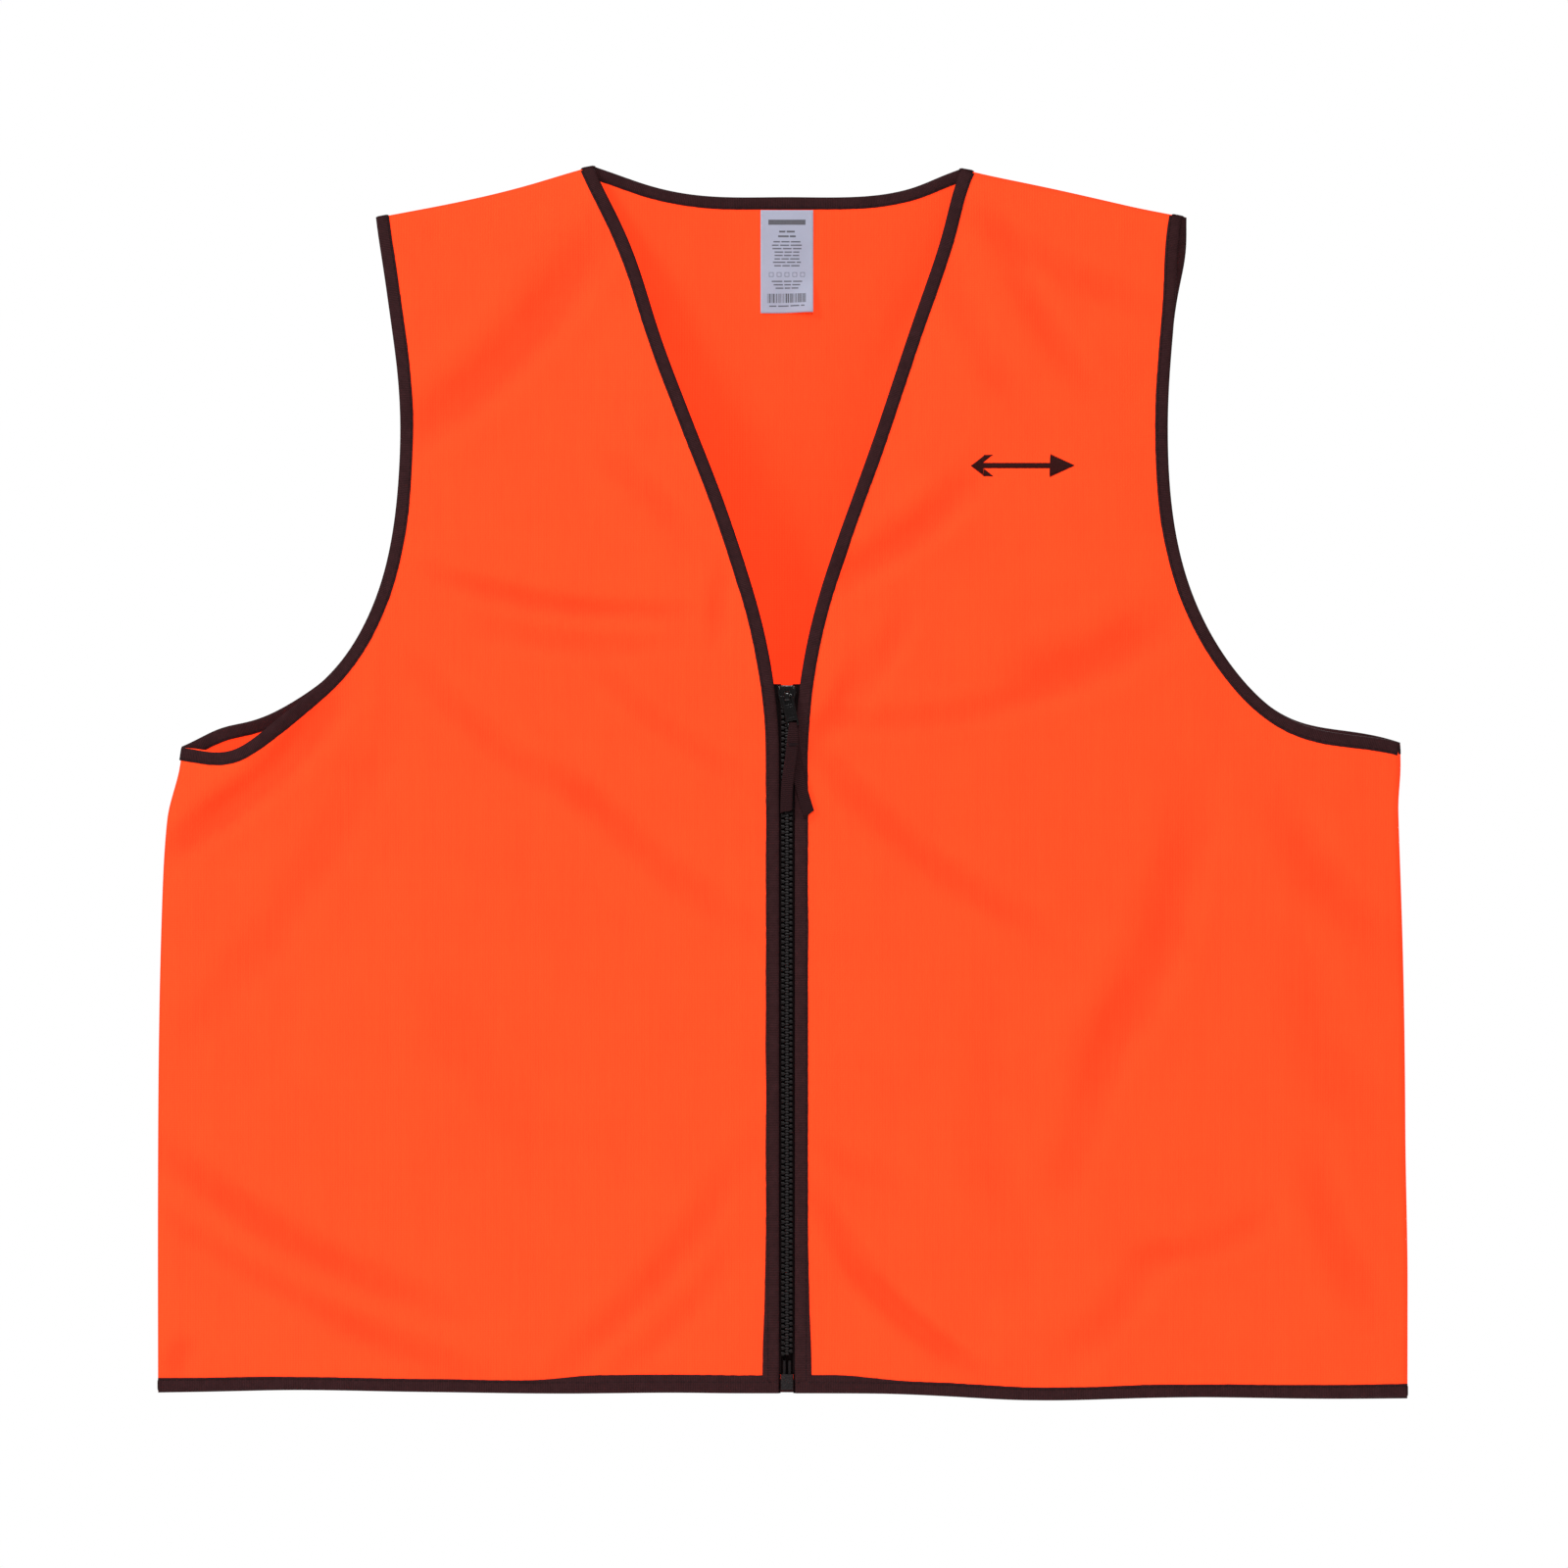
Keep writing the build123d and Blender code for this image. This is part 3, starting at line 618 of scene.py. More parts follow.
# Where the vest lies off its pattern: centre, reach, shift in X and Z, and the layers that it moves.
BOTH = (-1, 1)
UNEVEN = [
    ((-99, 0), 30, (-3.4, 0.3), BOTH),
    ((96, 0), 34, (-6.4, -1.0), BOTH),
    ((-62, -85), 34, (-1.8, 0.0), (-1,)),
    ((-38, -165), 36, (1.1, 0.0), (-1,)),
    ((60, -110), 80, (-0.8, 0.0), (-1,)),
    ((-208, -26), 30, (-2.2, 0.0), BOTH),
    ((-204, -72), 40, (-2.6, 0.0), BOTH),
    ((-205, -190), 60, (-0.9, 0.0), BOTH),
    ((-252, -274), 26, (-0.6, 1.9), BOTH),
    ((205, -28), 36, (-4.9, 0.3), BOTH),
    ((204, -42), 22, (4.2, 0.0), (1,)),
    ((200, -150), 95, (-2.4, 0.0), BOTH),
    ((256, -281), 34, (-1.2, -3.0), BOTH),
    ((-313, -298), 34, (3.4, 0.0), BOTH),
    ((-285, -300), 16, (0.0, -1.6), (-1,)),
    ((-292, -290), 16, (0.0, 2.2), (1,)),
    ((314, -296), 26, (0.6, 2.6), BOTH),
]


def uneven(layer, x, z):
    dx = dz = 0.0
    for (cx, cz), reach, (sx, sz), layers in UNEVEN:
        if layer in layers:
            weight = math.exp(-((x - cx) ** 2 + (z - cz) ** 2) / reach**2)
            dx += sx * weight
            dz += sz * weight
    dx -= 3.6 * ease(-x, 120, 300) * ease(-z, 302, 334)
    dx -= 1.7 * ease(x, 150, 300) * ease(-z, 306, 330) * (1 - 0.6 * ease(-z, 490, 570))
    return dx, dz


def armhole_edge(layer, side):
    drop = DROP[layer, side]
    points = [
        (SHOULDER_X, -SHOULDER_DROP),
        (198.5, -90),
        (197, -150),
        (207, -215),
        (230, -257),
        (262, -281 - 0.5 * drop),
        (290, -290 - 0.9 * drop),
        UNDERARM,
    ]
    return mirrored(points, side)


def cloth_point(layer, x, z, lift=0.0):
    """Point on a layer as it hangs, lifted along its outward normal."""
    dx, dz = uneven(layer, x, z)
    dz -= hem_drop(layer, x) * ease(-z, 380, LENGTH)
    base = Vector((x + dx, surface_y(layer, x, z), z + dz))
    if lift:
        base += outward(layer, x, z) * lift
    return base


# --- panels ----------------------------------------------------------------------------------
ROWS = 170
COLUMNS = 96


def half_patch(layer, side):
    """Grid of (x, z) over one half of a layer, from its four edges."""
    upper = int(ROWS * 0.5)
    armhole = smooth(armhole_edge(layer, side), upper + 1)
    flank = smooth(mirrored([UNDERARM] + FLANK, side), ROWS - upper + 1)
    outer = join(armhole, flank)
    shoulder = smooth(mirrored(SHOULDER_LINE, side), 200)
    if layer < 0:
        front_edge = smooth(mirrored(FRONT_EDGE, side), upper + 1)
        straight = smooth([front_edge[-1], (side * ZIP_EDGE_X, -LENGTH)], ROWS - upper + 1)
        inner = join(front_edge, straight)
        top = even(shoulder, COLUMNS + 1)
        foot_x = ZIP_EDGE_X
    else:
        neck = smooth(mirrored(BACK_NECK, side), 200)
        inner = smooth([(0, BACK_NECK[0][1]), (0, -LENGTH)], ROWS + 1)
        top = even(join(neck, shoulder), COLUMNS + 1)
        foot_x = 0.0
    bottom = smooth([(side * foot_x, -LENGTH), (side * HALF_WIDTH, -LENGTH)], COLUMNS + 1)
    u = np.linspace(0, 1, COLUMNS + 1)[None, :, None]
    v = np.linspace(0, 1, ROWS + 1)[:, None, None]
    ruled = (1 - u) * inner[:, None] + u * outer[:, None]
    lofted = (1 - v) * top[None] + v * bottom[None]
    corners = (
        (1 - u) * (1 - v) * top[0]
        + u * (1 - v) * top[-1]
        + (1 - u) * v * bottom[0]
        + u * v * bottom[-1]
    )
    return ruled + lofted - corners


def grid_faces(rows, columns, flip, start=0):
    faces = []
    for r in range(rows):
        for c in range(columns):
            a = start + r * (columns + 1) + c
            quad = (a, a + 1, a + columns + 2, a + columns + 1)
            faces.append(quad[::-1] if flip else quad)
    return faces


def make_panel(name, layer, sides):
    """Knit panel of one layer, from one or two halves welded at the centre line."""
    points = []
    faces = []
    fold_shade_depths = []
    for side in sides:
        patch = half_patch(layer, side)
        start = len(points)
        for row in patch:
            points += [cloth_point(layer, x, z) for x, z in row]
            fold_shade_depths += [min(1.0, max(0.0, -folds(layer, x, z) / 1.8)) for x, z in row]
        faces += grid_faces(ROWS, COLUMNS, flip=(side * layer > 0), start=start)
    panel = mesh_piece(name, points, faces, KNIT)
    # Painted shade: each point's fold depth, stored so that the knit darkens its colour in the folds.
    painted_fold_shade = panel.data.attributes.new("painted_fold_shade", "FLOAT", "POINT")
    painted_fold_shade.data.foreach_set("value", np.array(fold_shade_depths, np.float32))
    if len(sides) == 2:
        weld = panel.modifiers.new("weld", "WELD")
        weld.merge_threshold = 0.01 * MM
    thick = panel.modifiers.new("thickness", "SOLIDIFY")
    thick.thickness = 0.55 * MM
    thick.offset = 0
    apply_modifiers(panel)
    panel.data.shade_smooth()
    return panel


def blend_front(piece):
    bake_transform(piece)


for side in (1, -1):
    piece = make_panel(f"front_knit_{SIDE_NAME[side]}", -1, (side,))
    blend_front(piece)
    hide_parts(f"front_panel_{SIDE_NAME[side]}")
back_knit = make_panel("back_knit", 1, (1, -1))
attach(back_knit, "garment")
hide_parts("back_panel")


# --- bindings ------------------------------------------------------------------------------------
def binding_ring(width):
    """Cross-section of a folded tape: distance inside the edge, and lift from the cloth's middle."""
    lip = [(width, 0.62), (width - 0.35, 0.95), (width - 1.2, 0.92)]
    outer = lip + [(width * 0.55, 1.06), (1.6, 1.02), (0.5, 0.86), (-0.12, 0.5)]
    inner = [(width, 0.32), (1.1, 0.3), (0.75, 0.12)]
    far_half = [(n, -b) for n, b in outer[::-1]] + [(n, -b) for n, b in inner]
    return outer + [(-0.3, 0.0)] + far_half + inner[::-1]


def inward_normals(line, towards_left):
    """Unit normals of a line in the XZ plane, on its left or right."""
    ahead = np.gradient(line, axis=0)
    ahead /= np.linalg.norm(ahead, axis=1)[:, None]
    turn = 1 if towards_left else -1
    return np.stack([-turn * ahead[:, 1], turn * ahead[:, 0]], axis=1)


def even_width(x, z):
    return 1.0


def make_binding_piece(name, stretches, width, seed, spread=even_width):
    """One mesh of folded tape along one or more stretches of edge, each (layer, line, left)."""
    ring = binding_ring(width)
    points = []
    faces = []
    along = []
    run = 0.0
    for layer, line, left in stretches:
        normals = inward_normals(line, left)
        start = len(points)
        for i, ((x, z), (nx, nz)) in enumerate(zip(line, normals)):
            if i:
                run += math.dist(line[i], line[i - 1])
            pull = 1 + 0.025 * noise.noise(Vector((run / 3.1, seed, 0)))
            pull = spread(x, z) * (pull + 0.04 * noise.noise(Vector((run / 28, seed, 5))))
            puff = 1 + 0.13 * noise.noise(Vector((run / 2.3, seed, 9)))
            puff += 0.10 * noise.noise(Vector((run / 11, seed, 4)))
            for n, b in ring:
                reach = n * (pull if n > 2 else 1)
                px, pz = x + nx * reach, z + nz * reach
                spot = cloth_point(layer, px, pz)
                points.append(spot + outward(layer, px, pz) * b * (puff if abs(b) > 0.4 else 1))
                along.append((run, n, b))
        faces += tube_faces(len(line), len(ring), start)
    piece = mesh_piece(name, points, faces, BINDING)
    store_cloth(piece, along)
    recalculate(piece)
    return piece


def recalculate(piece):
    """Normals facing outward."""
    work = bmesh.new()
    work.from_mesh(piece.data)
    bmesh.ops.recalc_face_normals(work, faces=work.faces)
    work.to_mesh(piece.data)
    work.free()


def capsule(start, end, radius, sides=6):
    """Points and faces of one short thread between two points."""
    axis = end - start
    length = axis.length
    axis.normalize()
    across = axis.orthogonal().normalized()
    over = axis.cross(across)
    points = [start - axis * radius * 0.3]
    for share, thick in ((0.0, 0.55), (0.18, 1.0), (0.82, 1.0), (1.0, 0.55)):
        for k in range(sides):
            turn = 2 * math.pi * k / sides
            rim = (across * math.cos(turn) + over * math.sin(turn)) * radius * thick
            points.append(start + axis * length * share + rim)
    points.append(end + axis * radius * 0.3)
    faces = [(0, 1 + (k + 1) % sides, 1 + k) for k in range(sides)]
    for r in range(3):
        for k in range(sides):
            a = 1 + r * sides + k
            b = 1 + r * sides + (k + 1) % sides
            faces.append((a, b, b + sides, a + sides))
    tip = len(points) - 1
    faces += [(1 + 3 * sides + k, 1 + 3 * sides + (k + 1) % sides, tip) for k in range(sides)]
    return points, faces


def thread_piece(name, threads, material, radius=0.2):
    """One mesh of many short threads, each a (start, end) pair."""
    return merged(name, [capsule(start, end, radius) for start, end in threads], material)


def line_length(line):
    return float(np.sum(np.linalg.norm(np.diff(line, axis=0), axis=1)))


STITCH = 2.6
STITCH_GAP = 0.55
STITCH_INSET = 1.1
STITCH_LIFTS = (0.98, -0.98)


def stitch_row(layer, line, left, width):
    """Lock-stitches on both faces of a tape of that width, just outside its inner edge."""
    count = int(line_length(line) / (STITCH + STITCH_GAP))
    fine = even(line, count * 2 + 1)
    normals = inward_normals(fine, left)
    spots = fine + normals * (width - STITCH_INSET)
    threads = []
    for i in range(count):
        (ax, az), (bx, bz) = spots[2 * i], spots[2 * i + 2]
        share = STITCH / (STITCH + STITCH_GAP)
        bx, bz = ax + (bx - ax) * share, az + (bz - az) * share
        for lift in STITCH_LIFTS:
            threads.append((cloth_point(layer, ax, az, lift), cloth_point(layer, bx, bz, lift)))
    return threads


EDGE_STEP = 1.6


def edge_line(points, step=EDGE_STEP):
    rough = smooth(points, 400)
    return even(rough, int(line_length(rough) / step) + 1)


BINDING_WIDTH = 6.35
NECK_WIDTH = 5.9
FRONT_WIDTH = 6.6
FRONT_FOOT = 5.2    # height above the hem's edge at which the front edges' tape ends


def hem_spread(x, z):
    """The front hem's tape is folded less deep beside the zip, so it looks taller there."""
    return 1 + 0.42 * ease(x, -135, -95) * (1 - ease(x, 25, 65))


def foot_spread(x, z):
    """The front edges' tape widens towards the foot of the zip."""
    return 1 + 0.27 * ease(-z, 545, 622)


for side in (1, -1):
    name = SIDE_NAME[side]
    v_line = edge_line(mirrored(FRONT_EDGE, side))
    straight = edge_line([tuple(v_line[-1]), (side * ZIP_EDGE_X, -LENGTH + FRONT_FOOT)])
    front_edge = join(v_line, straight)
    left = side > 0
    stretches = [(-1, front_edge, left)]
    piece = make_binding_piece(f"front_edge_tape_{name}", stretches, FRONT_WIDTH, 11 + side, foot_spread)
    blend_front(piece)
    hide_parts(f"front_binding_{name}", "neck_binding")
    rows = stitch_row(-1, front_edge, left, FRONT_WIDTH)
    threads = thread_piece(f"front_edge_stitches_{name}", rows, DARK_THREAD)
    blend_front(threads)

    stretches = []
    rows = []
    for layer in (-1, 1):
        edge = edge_line(armhole_edge(layer, side))
        stretches.append((layer, edge, side < 0))
        rows += stitch_row(layer, edge, side < 0, BINDING_WIDTH)
    piece = make_binding_piece(f"armhole_tape_{name}", stretches, BINDING_WIDTH, 21 + side)
    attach(piece, "garment")
    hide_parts(f"armhole_binding_{name}")
    threads = thread_piece(f"armhole_stitches_{name}", rows, DARK_THREAD)
    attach(threads, "garment")

    hem_front = edge_line([(side * ZIP_EDGE_X, -LENGTH), (side * HALF_WIDTH, -LENGTH)])
    stretches = [(-1, hem_front, side > 0)]
    piece = make_binding_piece(f"hem_tape_{name}", stretches, BINDING_WIDTH, 31 + side, hem_spread)
    blend_front(piece)
    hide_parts("hem_binding")
    rows = stitch_row(-1, hem_front, side > 0, BINDING_WIDTH)
    threads = thread_piece(f"hem_stitches_{name}", rows, DARK_THREAD)
    blend_front(threads)

neck_points = mirrored(BACK_NECK, -1)[:0:-1] + BACK_NECK
back_neck = edge_line(neck_points)
piece = make_binding_piece("back_neck_tape", [(1, back_neck, False)], NECK_WIDTH, 41)
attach(piece, "garment")
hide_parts("neck_binding")
hem_back = edge_line([(-HALF_WIDTH, -LENGTH), (HALF_WIDTH, -LENGTH)])
piece = make_binding_piece("hem_tape_back", [(1, hem_back, True)], BINDING_WIDTH, 43)
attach(piece, "garment")
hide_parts("hem_binding")
rows = stitch_row(1, back_neck, False, NECK_WIDTH)
rows += stitch_row(1, hem_back, True, BINDING_WIDTH)
threads = thread_piece("back_stitches", rows, DARK_THREAD)
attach(threads, "garment")


# --- the bindings' turns over the seams ---------------------------------------------------------
def make_turn(start, end, radius):
    """A short rounded roll of binding from one (x, z) point to another, over both layers."""
    sides = 14
    steps = 6
    points = []
    for i in range(steps + 1):
        share = i / steps
        x = start[0] + (end[0] - start[0]) * share
        z = start[1] + (end[1] - start[1]) * share
        front = cloth_point(-1, x, z)
        back = cloth_point(1, x, z)
        middle = (front + back) / 2
        along = Vector((end[0] - start[0], 0, end[1] - start[1])).normalized()
        over = along.cross(Vector((0, 1, 0))).normalized()
        round_end = math.sqrt(max(0.0, 1 - (2 * share - 1) ** 6))
        reach = (back.y - front.y) / 2 + 1.02
        for k in range(sides):
            turn = 2 * math.pi * k / sides
            offset = over * math.cos(turn) * radius + Vector((0, math.sin(turn) * reach, 0))
            points.append(middle + offset * (0.55 + 0.45 * round_end))
    return points, tube_faces(steps + 1, sides)


# Both ends of each turn as (x, z) on one side of the vest, and its radius.
TURNS = [
    ((94.6, -0.2), (102.0, -1.6), 1.0),
    ((200.9, -24.9), (207.3, -26.2), 0.9),
    ((312.4, -296.8), (312.8, -303.2), 0.8),
    ((317.6, -619.8), (317.6, -625.8), 0.8),
]
turns = []
for side in (1, -1):
    for start, end, radius in TURNS:
        turns.append(make_turn(*mirrored((start, end), side), radius))
binding_turns = merged("binding_turns", turns, BINDING)
store_cloth(binding_turns, [(p.x + p.z, 0, 0) for points, faces in turns for p in points])
recalculate(binding_turns)
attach(binding_turns, "garment")


# --- seam allowances ------------------------------------------------------------------------------
SEAM_WIDTH = 6.0
SEAM_SECTION = ((0.6, 0.16), (SEAM_WIDTH, 0.16), (SEAM_WIDTH, -0.16), (0.6, -0.16))


def make_allowance(name, line, left):
    """The turned edges of both layers: a thin strip between them, inside the sewn line."""
    points = []
    for (x, z), (nx, nz) in zip(line, inward_normals(line, left)):
        for inset, depth in SEAM_SECTION:
            spot = (x + nx * inset, z + nz * inset)
            middle = (cloth_point(-1, *spot) + cloth_point(1, *spot)) / 2
            points.append(middle + Vector((0, depth, 0)))
    faces = tube_faces(len(line), len(SEAM_SECTION))
    strip = mesh_piece(name, points, faces, KNIT, smooth_shading=False)
    recalculate(strip)
    return strip


for side in (1, -1):
    for seam, route in (("shoulder", SHOULDER_LINE), ("side", [UNDERARM] + FLANK)):
        line = edge_line(mirrored(route, side), 4.0)[2:-2]
        allowance = make_allowance(f"{seam}_allowance_{SIDE_NAME[side]}", line, side < 0)
        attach(allowance, "garment")
        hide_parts(f"{seam}_seam_{SIDE_NAME[side]}")


# --- zip: teeth ---------------------------------------------------------------------------------
TOOTH_PITCH = 2.8
TEETH_TOP = -271.5
TEETH_PER_SIDE = 120
TOOTH = [
    (2.85, 0.95),
    (1.5, 0.95),
    (1.15, 0.42),
    (0.62, 0.42),
    (0.3, 0.64),
    (-0.55, 0.66),
    (-0.95, 0.5),
    (-1.12, 0.22),
]


def prism(outline, low_y, high_y, bevel, segments=2):
    """Bevelled plate: an outline in the XZ plane between two depths, as points and faces."""
    work = bmesh.new()
    front = [work.verts.new((x, low_y, z)) for x, z in outline]
    back = [work.verts.new((x, high_y, z)) for x, z in outline]
    work.faces.new(front)
    work.faces.new(back[::-1])
    for i in range(len(outline)):
        j = (i + 1) % len(outline)
        work.faces.new((front[j], front[i], back[i], back[j]))
    bmesh.ops.recalc_face_normals(work, faces=work.faces)
    if bevel:
        rims = [e for e in work.edges if abs(e.verts[0].co.y - e.verts[1].co.y) < 1e-6]
        bmesh.ops.bevel(
            work,
            geom=rims,
            offset=bevel,
            segments=segments,
            profile=0.5,
            affect="EDGES",
            clamp_overlap=True,
        )
    work.verts.ensure_lookup_table()
    points = [v.co.copy() for v in work.verts]
    faces = [tuple(v.index for v in f.verts) for f in work.faces]
    work.free()
    return points, faces


for side in (1, -1):
    upper = mirrored(TOOTH, side)
    outline = upper + [(x, -z) for x, z in upper[::-1]]
    tooth_points, tooth_faces = prism(outline, -1.25, 1.25, 0.28)
    first_z = TEETH_TOP - (TOOTH_PITCH / 2 if side < 0 else 0)
    row = []
    for k in range(TEETH_PER_SIDE):
        lift = Vector((0, CHAIN_Y, first_z - k * TOOTH_PITCH))
        row.append(([p + lift for p in tooth_points], tooth_faces))
    teeth = merged(f"teeth_{SIDE_NAME[side]}", row, TEETH)
    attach(teeth, f"zip_half_{SIDE_NAME[side]}")
    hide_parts(f"zip_teeth_{SIDE_NAME[side]}")


def slab(x_range, y_range, z_range):
    """Points and faces of a thin box."""
    (x0, x1), (y0, y1), (z0, z1) = (sorted(r) for r in (x_range, y_range, z_range))
    return prism([(x0, z0), (x1, z0), (x1, z1), (x0, z1)], y0, y1, 0)


# Painted shade: dark strips of tape close the view between the teeth and fill the gap beside the box, where
# only shade is seen.
for side, near_y in ((1, CHAIN_Y + 1.26), (-1, CHAIN_Y + 1.42)):
    shade_strip_parts = [
        slab((side * -0.5, side * 3.3), (near_y, near_y + 0.14), (-616.6, -273)),
        slab((side * 3.25, side * 4.7), (CHAIN_Y - 0.1, CHAIN_Y + 0.5), (-626.2, -600)),
    ]
    painted_shade_strip = merged(f"painted_shade_strip_{SIDE_NAME[side]}", shade_strip_parts, ZIP_TAPE)
    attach(painted_shade_strip, f"zip_half_{SIDE_NAME[side]}")


# --- slider ---------------------------------------------------------------------------------------
SLIDER_TOP = -265.0
TAB_AXIS_Z = -270.8
PLATE_FRONT_Y = CHAIN_Y - 1.6 - 1.2
TAB_AXIS_Y = PLATE_FRONT_Y - 0.95
TAB_TILT = math.radians(12)


def turned(shape, turn, shift):
    points, faces = shape
    return [turn @ p + shift for p in points], faces


PLATE_RIGHT = [
    (1.6, -0.1),
    (2.6, 0.0),
    (3.7, -0.25),
    (4.45, -0.9),
    (4.75, -2.2),
    (4.7, -4.2),
    (4.3, -6.2),
    (3.75, -8.2),
    (3.4, -10.2),
    (3.1, -11.6),
    (2.7, -12),
]
plate_right = [(x, SLIDER_TOP + z) for x, z in PLATE_RIGHT]
plate_outline = plate_right + mirrored(plate_right[::-1], -1)
slider_parts = [
    prism(plate_outline, PLATE_FRONT_Y, CHAIN_Y - 1.6, 0.42, 3),
    prism(plate_outline, CHAIN_Y + 1.6, CHAIN_Y + 2.7, 0.38, 3),
    prism([(1.2, -266.6), (0, -265.5), (-1.2, -266.6), (0, -270.0)], CHAIN_Y - 1.65, CHAIN_Y + 1.65, 0),
]
for x in (-3.55, 3.55):
    rim = [(x - 0.28, -265.6), (x + 0.28, -265.6), (x * 1.02 + 0.28, -270.6), (x * 1.02 - 0.28, -270.6)]
    slider_parts.append(prism(rim, PLATE_FRONT_Y - 0.22, PLATE_FRONT_Y + 0.2, 0.16))
# The crown is an arch over the tab's bar, drawn from the side and then turned to face across.
arch_foot = [(-0.2, -2.5), (-1.9, -2.5), (-2.5, -2.2), (-2.8, -1.4)]
arch_outer = arch_foot + [(y, -z) for y, z in arch_foot[::-1]]
arch_inner = [(0.2, 1.15), (-1.55, 1.15), (-1.8, 0.9), (-1.8, -0.9), (-1.55, -1.15), (0.2, -1.15)]
ARCH_HALF_X = 1.25


def arch_shape():
    """The crown: the arch's outline stretched across the slider."""
    outline = arch_outer + [(0.2, 2.5)] + arch_inner + [(0.2, -2.5)]
    points, faces = prism(outline, -ARCH_HALF_X, ARCH_HALF_X, 0.3, 3)
    quarter = Matrix(((0, 1, 0), (1, 0, 0), (0, 0, 1)))
    return turned((points, [f[::-1] for f in faces]), quarter, Vector((0, PLATE_FRONT_Y, TAB_AXIS_Z)))


slider_parts.append(arch_shape())
for x in (-0.95, 0.95):
    ridge = [(x - 0.3, -265.7), (x + 0.3, -265.7), (x + 0.3, -268.4), (x - 0.3, -268.4)]
    slider_parts.append(prism(ridge, PLATE_FRONT_Y - 0.75, PLATE_FRONT_Y + 0.2, 0.2, 3))
slider = merged("slider", slider_parts, ENAMEL)
recalculate(slider)
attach(slider, "slider")
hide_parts("slider_body")


# --- pull tab -------------------------------------------------------------------------------------
def plate_with_windows(name, outline, windows, thick, bevel):
    """Bevelled plate with holes, flat in its own XY plane, from a filled curve."""
    curve = bpy.data.curves.new(name, "CURVE")
    curve.dimensions = "2D"
    curve.fill_mode = "BOTH"
    curve.extrude = (thick / 2 - bevel) * MM
    curve.bevel_depth = bevel * MM
    curve.bevel_resolution = 3
    for loop in [outline] + windows:
        line = curve.splines.new("POLY")
        line.points.add(len(loop) - 1)
        for point, (x, y) in zip(line.points, loop):
            point.co = (x * MM, y * MM, 0, 1)
        line.use_cyclic_u = True
    holder = bpy.data.objects.new(name, curve)
    bpy.context.scene.collection.objects.link(holder)
    bpy.context.view_layer.update()
    mesh = bpy.data.meshes.new_from_object(holder.evaluated_get(bpy.context.evaluated_depsgraph_get()))
    bpy.data.objects.remove(holder)
    points = [v.co / MM for v in mesh.vertices]
    faces = [tuple(f.vertices) for f in mesh.polygons]
    bpy.data.meshes.remove(mesh)
    return points, faces


def rounded(half_x, low, high, radius, steps=5):
    """Rounded rectangle from low to high in y."""
    corners = [(half_x - radius, high - radius, 0), (-half_x + radius, high - radius, 90),
               (-half_x + radius, low + radius, 180), (half_x - radius, low + radius, 270)]
    loop = []
    for x, y, turn in corners:
        for k in range(steps + 1):
            angle = math.radians(turn + 90 * k / steps)
            loop.append((x + radius * math.cos(angle), y + radius * math.sin(angle)))
    return loop


tab_outline = rounded(2.95, -15.4, 0.5, 0.9)
windows = [rounded(1.9, -4.3, -0.05, 0.3), rounded(2.4, -14.4, -12.5, 0.4)]
tab_plate = plate_with_windows("tab", tab_outline, windows, 1.2, 0.22)
rim_window = rounded(1.6, -11.0, -5.8, 0.45)
panel_rim = plate_with_windows("rim", rounded(2.0, -11.4, -5.4, 0.6), [rim_window], 1.5, 0.1)
bar = capsule(Vector((-2.9, 0, 0)), Vector((2.9, 0, 0)), 0.62, sides=14)
tilt = Matrix.Rotation(-TAB_TILT, 3, "Y")
# The plate's own XY plane becomes the XZ plane of the vest.
stand = Matrix(((1, 0, 0), (0, 0, -1), (0, 1, 0)))
tab_at = Vector((0, TAB_AXIS_Y, TAB_AXIS_Z))
tab_parts = [turned(shape, tilt @ stand, tab_at) for shape in (tab_plate, panel_rim, bar)]
tab = merged("tab_plate", tab_parts, ENAMEL)
recalculate(tab)
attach(tab, "tab")
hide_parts("pull_tab")


# --- pull ribbon ------------------------------------------------------------------------------------
RIBBON_X = 15 * math.sin(TAB_TILT)
RIBBON_Z = TAB_AXIS_Z - 15 * math.cos(TAB_TILT)
RIBBON_TOP_Z = RIBBON_Z + 1.2


def ribbon_line():
    """Centreline and outward direction, from the front tail's tip over the bar to the back tail's tip."""
    near = TAB_AXIS_Y - 1.3
    far = TAB_AXIS_Y + 1.3
    front_tail = [
        (-0.4, near + 0.8, -329.6),
        (0.3, near + 0.9, -315),
        (2.2, near + 0.5, -301),
        (RIBBON_X, near, -291),
        (RIBBON_X, near, RIBBON_Z - 0.4),
    ]
    back_tail = [
        (RIBBON_X, far, RIBBON_Z - 0.4),
        (RIBBON_X + 0.1, far, -291),
        (4.1, far + 0.1, -300),
        (7.2, far + 0.15, -317),
        (11.3, far, -331.0),
    ]
    front = smooth(front_tail, 50)
    back = smooth(back_tail, 50)
    stations = [(Vector(p), Vector((0, -1, 0))) for p in front]
    for k in range(1, 12):
        turn = math.pi * k / 12
        face = Vector((0, -math.cos(turn), math.sin(turn)))
        stations.append((Vector((RIBBON_X, TAB_AXIS_Y, RIBBON_Z)) + face * 1.3, face))
    stations += [(Vector(p), Vector((0, 1, 0))) for p in back]
    return stations


